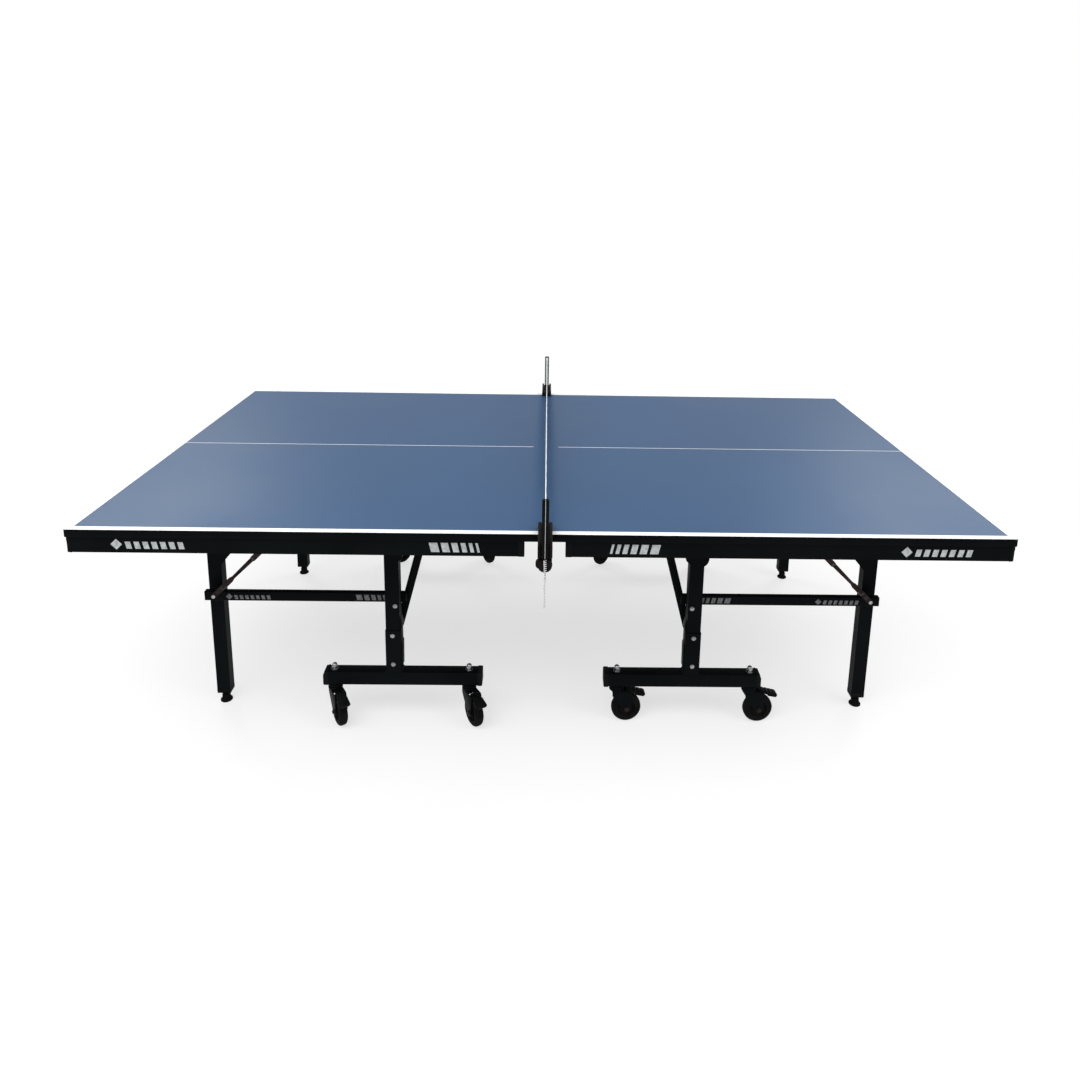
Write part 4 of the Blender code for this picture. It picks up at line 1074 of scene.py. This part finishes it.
def twine_bar(bm, start, end):
    """A thin four-sided twine from start to end."""
    start, end = Vector(start), Vector(end)
    side = Vector((1, 0, 0))
    other = (end - start).normalized().cross(side)
    corners = [(side * a + other * b) * TWINE / 2 for a, b in ((1, 1), (-1, 1), (-1, -1), (1, -1))]
    join_rings(bm, [[place + corner for corner in corners] for place in (start, end)])


def knot_at(bm, y, z):
    """A small bead where two twines cross."""
    tips = [bm.verts.new((x, y, z)) for x in (KNOT, -KNOT)]
    ring = [bm.verts.new((0, y + b * KNOT, z + c * KNOT)) for b, c in ((1, 0), (0, 1), (-1, 0), (0, -1))]
    for i in range(4):
        for tip in tips:
            bm.faces.new((ring[i], ring[(i + 1) % 4], tip))


def make_netting(bm):
    upright_places = [net_low.y + net_width / columns * i for i in range(columns + 1)]
    for y in upright_places:
        twine_bar(bm, (0, y, net_low.z), (0, y, net_high.z - TAPE_HEIGHT / 2))
    for j in range(rows + 1):
        z = net_low.z + net_rise / rows * j
        twine_bar(bm, (0, net_low.y, z), (0, net_high.y, z))
        for y in upright_places[1:-1]:
            knot_at(bm, y, z)


netting = deliver(make_netting, "netting", net_black, "net_assembly", ["net"])
print("net has", columns, "by", rows, "meshes")

# %% Tapes along the top and down the ends
TAPE_STEPS = 60


def make_top_tape(bm):
    """A folded tape that waves very slightly from side to side."""
    wall = [(TAPE_HALF, -TAPE_HEIGHT), (TAPE_HALF * 1.1, -TAPE_HEIGHT * 0.5), (TAPE_HALF * 1.2, -0.0022)]
    wall.append((0.0007, -0.0004))
    section = [(-x, z) for x, z in wall] + [(0, 0), *reversed(wall)]
    rings = []
    for step in range(TAPE_STEPS + 1):
        wave = 0.00025 * sin(step * 1.7)
        y = net_low.y + net_width * step / TAPE_STEPS
        rings.append([(x + wave, y, net_high.z + z) for x, z in section])
    join_rings(bm, rings)


def make_end_tapes(bm):
    for side in (-1, 1):
        inner = (-0.0010, side * (net_high.y - END_TAPE), net_low.z)
        eased_bar(bm, inner, (0.0010, side * net_high.y, net_high.z - TAPE_HEIGHT), 0.0004)


top_tape = deliver(make_top_tape, "net_top_tape", tape_white, "net_assembly", sharp=50)
end_tapes = deliver(make_end_tapes, "net_end_tapes", net_black, "net_assembly")

# %% [markdown]
# ## Posts and clamps
#
# Each post is a steel channel with a slot down its front, and the white cord runs in the slot. It
# stands in a clamp: an arm that lies over the board's edge, a block outside it, and a sprung jaw
# under the board with a round grip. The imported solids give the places. The finer meshes add the
# slot, the ribs on the arm, the fluted grip and the felt pads that touch the board.

# %% Posts
felt_black = uneven_finish("felt_black", (6, 6, 6), (16, 16, 16), (0.85, 0.98), 700, 300, 90)
clamp_black = uneven_finish("clamp_black", (4.2, 3.4, 3.2), (10, 7.8, 7.2), (0.36, 0.50), 900, 50, 20)
liner_grey = uneven_finish("liner_grey", (500, 530, 550), (660, 680, 700), (0.45, 0.60), 900, 40, 30)
POST_HALF = 0.0095
SLOT_HALF = 0.0011
SLOT_DEPTH = 0.0035
POST_ROUND = 0.0045
CLAMP_TOP = 0.779
CLAMP_BOTTOM = 0.742
CORD_TURNS = 44
support_low, support_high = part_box("far_net_support")
post_inner, post_outer = POST_MIDDLE_Y - POST_DEPTH / 2, POST_MIDDLE_Y + POST_DEPTH / 2
post_top = support_high.z


def rounded_head(x0, x1, bottom, top, left_round, right_round):
    """An upright outline whose two top corners can each be rounded off."""
    outline = [(x0, bottom), (x1, bottom)]
    for corner, radius, first in ((x1 - right_round, right_round, 0), (x0 + left_round, left_round, pi / 2)):
        outline += arc((corner, top - radius), radius, first, pi / 2, 4) if radius else [(corner, top)]
    return outline


def make_post(bm):
    for side in (-1, 1):
        x0, x1 = sorted((side * SLOT_HALF, side * POST_HALF))
        rounds = (POST_ROUND, 0) if side < 0 else (0, POST_ROUND)
        eased_plate(bm, rounded_head(x0, x1, CLAMP_BOTTOM, post_top, *rounds), post_inner, post_outer)
    half = POST_HALF - 0.001
    back = rounded_head(-half, half, CLAMP_BOTTOM + 0.001, post_top - 0.001, POST_ROUND, POST_ROUND)
    eased_plate(bm, back, post_inner + 0.0004, post_outer - SLOT_DEPTH, 0)


def make_liner(bm):
    """The pale lining of the channel on the side that takes the net."""
    half = POST_HALF * 0.62
    outline = rounded_head(-half, half, CLAMP_TOP - 0.004, post_top - 0.0045, 0.004, 0.004)
    eased_plate(bm, outline, post_inner - 0.0006, post_inner + 0.001, 0)


def make_clamp(bm):
    high_x, edge, back = support_high.x, board_high.y, post_outer - 0.0005
    arm = (support_low.x, support_low.y, board_high.z + 0.0022)
    eased_bar(bm, arm, (high_x, edge + 0.006, CLAMP_TOP - 0.0035), 0.0020, 3)
    for side in (-1, 1):
        x0, x1 = side * 0.0125, side * (high_x - 0.0005)
        eased_bar(bm, (x0, support_low.y + 0.003, CLAMP_TOP - 0.006), (x1, back, CLAMP_TOP), 0.0016, 3)
        eased_bar(bm, (x0, edge + 0.0012, CLAMP_BOTTOM + 0.001), (x1, back, CLAMP_TOP - 0.004), 0.0016, 3)
        rib = (side * 0.0028, edge + 0.0016, CLAMP_BOTTOM)
        eased_bar(bm, rib, (side * 0.0132, post_inner + 0.0005, CLAMP_TOP - 0.005), 0.0010)


def make_pads(bm):
    low = (-0.018, support_low.y + 0.004, board_high.z + 0.0002)
    eased_bar(bm, low, (0.018, board_high.y - 0.003, board_high.z + 0.0026), 0.0006)


def make_slot_cord(bm):
    place, length = (0, post_outer - 0.0012, CLAMP_BOTTOM), post_top + 0.0002 - CLAMP_BOTTOM
    disc(bm, 0.0008, 0, length, place, steps=8)
    for turn in range(CORD_TURNS):
        z = CLAMP_BOTTOM + (turn + 0.5) * length / CORD_TURNS
        turned(bm, mm((0.7, -1.3), (1.05, 0), (0.7, 1.3)), (*place[:2], z), steps=8)


def make_pulley(bm):
    """The small roller on the post's top that the cord turns over."""
    profile = mm((0, -1.6), (3, -1.6), (2.2, -0.6), (2.2, 0.6), (3, 1.6), (0, 1.6))
    turned(bm, profile, (0, post_inner + 0.0025, post_top - 0.0015), (1, 0, 0), 16)


for side, side_y in SIDES:
    for make, name, finish, slot, replaced in (
        (make_clamp, "_net_clamp", clamp_black, "plastic_black", [side + "_net_support"]),
        (make_post, "_net_post", moulded_black, "plastic_black", []),
        (make_pads, "_clamp_pad", felt_black, "plastic_black", []),
        (make_liner, "_post_liner", liner_grey, "plastic_black", []),
        (make_slot_cord, "_slot_cord", cord_grey, "chain_white", []),
        (make_pulley, "_post_pulley", zinc_bright, "plastic_black", []),
    ):
        deliver(make, side + name, finish, "net_assembly", replaced, 1, side_y)
print("posts rise to", round(post_top, 4), "and clamps reach in to", round(support_low.y, 4))

# %% Jaws
JAW_PIVOT_Y, JAW_PIVOT_Z = 0.864, 0.717
JAW_HALF = 0.0195
GRIP_RADIUS = 0.0205
GRIP_LENGTH = 0.024
GRIP_FLUTES = 18
GRIP_SECTIONS = ((0, 0.80, 0.3), (0.06, 0.96, 1), (0.14, 1, 1), (0.86, 1, 1), (0.94, 0.96, 1), (1, 0.80, 0.3))
jaw_low, jaw_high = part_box("far_clamp_jaw")


def make_jaw(bm):
    bottom, top = JAW_PIVOT_Z + 0.004, jaw_high.z
    outline = [(-JAW_HALF, bottom), (JAW_HALF, bottom), (JAW_HALF, top), (-JAW_HALF, top)]
    eased_plate(bm, outline, jaw_low.y, JAW_PIVOT_Y, 0.0015, 3)
    for side in (-1, 1):
        low = (side * 0.009, jaw_low.y + 0.004, JAW_PIVOT_Z - 0.002)
        eased_bar(bm, low, (side * 0.0175, JAW_PIVOT_Y - 0.006, JAW_PIVOT_Z + 0.006), 0.0015)
    lobe = mm((0, 0), (10, 0), (12.5, 1.2), (13.5, 4), (13.5, 18), (12, 20.5), (0, 21))
    turned(bm, lobe, (-0.0125, JAW_PIVOT_Y - 0.0105, JAW_PIVOT_Z + 0.003), (0, 1, 0), 28)
    start, steps = JAW_PIVOT_Y - GRIP_LENGTH / 2, GRIP_FLUTES * 4
    rings = []
    for share, size, flute in GRIP_SECTIONS:
        ring = []
        for step in range(steps):
            angle = 2 * pi * step / steps
            radius = GRIP_RADIUS * size - 0.0007 * (1 - cos(angle * GRIP_FLUTES)) * flute
            x, z = radius * cos(angle), JAW_PIVOT_Z + radius * sin(angle)
            ring.append((x, start + GRIP_LENGTH * share, z))
        rings.append(ring)
    join_rings(bm, rings)


for side, side_y in SIDES:
    packed = [side + "_clamp_jaw"]
    deliver(make_jaw, side + "_clamp_grip", clamp_black, side + "_jaw", packed, 1, side_y)
print("jaws swing about", (round(JAW_PIVOT_Y, 3), round(JAW_PIVOT_Z, 3)))

# %% [markdown]
# ## Floor and light
#
# The table stands on a pale studio floor under broad soft light. Large area lamps give the paint
# a gentle gradient and put a long soft highlight on the black tubes. The background behind the
# table is white to the camera and in reflections, while the light on the table stays at a plain
# level.

# %% Floor
FLOOR_CLEAR, FLOOR_WHITE = 1.2, 3.6
FLOOR_GLOW = 0.62
floor_mesh = bmesh.new()
bmesh.ops.create_grid(floor_mesh, x_segments=1, y_segments=1, size=30)
floor_data = bpy.data.meshes.new("studio_floor")
floor_mesh.to_mesh(floor_data)
floor_mesh.free()
floor_pale, shader, place = start_finish("floor_pale", 0.85)
tree = floor_pale.node_tree
floor_colour = blend_colours(grain(place, 1.5), (0.95, 0.95, 0.95), (0.97, 0.97, 0.97))
connect(floor_colour, shader.inputs["Base Color"])
shader.inputs["Specular IOR Level"].default_value = 0.0
distance = add_node(tree, "VectorMath", operation="LENGTH")
connect(place, distance.inputs[0])
reach = distance.outputs["Value"]
fade = map_range(reach, FLOOR_CLEAR, FLOOR_WHITE, FLOOR_GLOW, 1.0, interpolation_type="SMOOTHSTEP")
glow = add_node(tree, "Emission", {"Color": (1, 1, 1, 1)})
mixed = add_node(tree, "MixShader")
connect(fade, mixed.inputs["Fac"])
connect(shader.outputs["BSDF"], mixed.inputs[1])
connect(glow.outputs["Emission"], mixed.inputs[2])
connect(mixed.outputs["Shader"], tree.nodes["Material Output"].inputs["Surface"])
floor_data.materials.append(floor_pale)
floor = bpy.data.objects.new("studio_floor", floor_data)
bpy.context.scene.collection.objects.link(floor)

# %% World and lamps
WORLD_LIGHT = 0.80
world = bpy.data.worlds.new("studio")
bpy.context.scene.world = world
world.use_nodes = True
sky = world.node_tree
background = sky.nodes["Background"]
background.inputs["Color"].default_value = (1, 1, 1, 1)
rays = add_node(sky, "LightPath")
seen = add_node(sky, "Math", operation="MAXIMUM")
connect(rays.outputs["Is Camera Ray"], seen.inputs[0])
connect(rays.outputs["Is Transmission Ray"], seen.inputs[1])
connect(map_range(seen.outputs[0], 0, 1, WORLD_LIGHT, 1.0), background.inputs["Strength"])


def area_lamp(name, place, aim, size, power):
    """A soft lamp that points at a place."""
    lamp = bpy.data.lights.new(name, "AREA")
    lamp.shape = "RECTANGLE"
    lamp.size, lamp.size_y = size
    lamp.energy = power
    holder = bpy.data.objects.new(name, lamp)
    holder.location = place
    holder.rotation_mode = "QUATERNION"
    holder.rotation_quaternion = (Vector(aim) - Vector(place)).to_track_quat("-Z", "Y")
    bpy.context.scene.collection.objects.link(holder)


area_lamp("key_lamp", (-1.6, -2.6, 3.6), (0, 0, 0.6), (3.6, 2.4), 90)
area_lamp("fill_lamp", (2.8, -1.6, 2.8), (0, 0, 0.5), (2.4, 2.4), 45)
for half, side_x in HALVES:
    area_lamp("rim_lamp_" + half, (side_x * 3.0, 2.9, 3.0), (side_x * 1.1, -0.6, 0.76), (1.7, 1.2), 40)
print("world light", WORLD_LIGHT, "and four lamps")
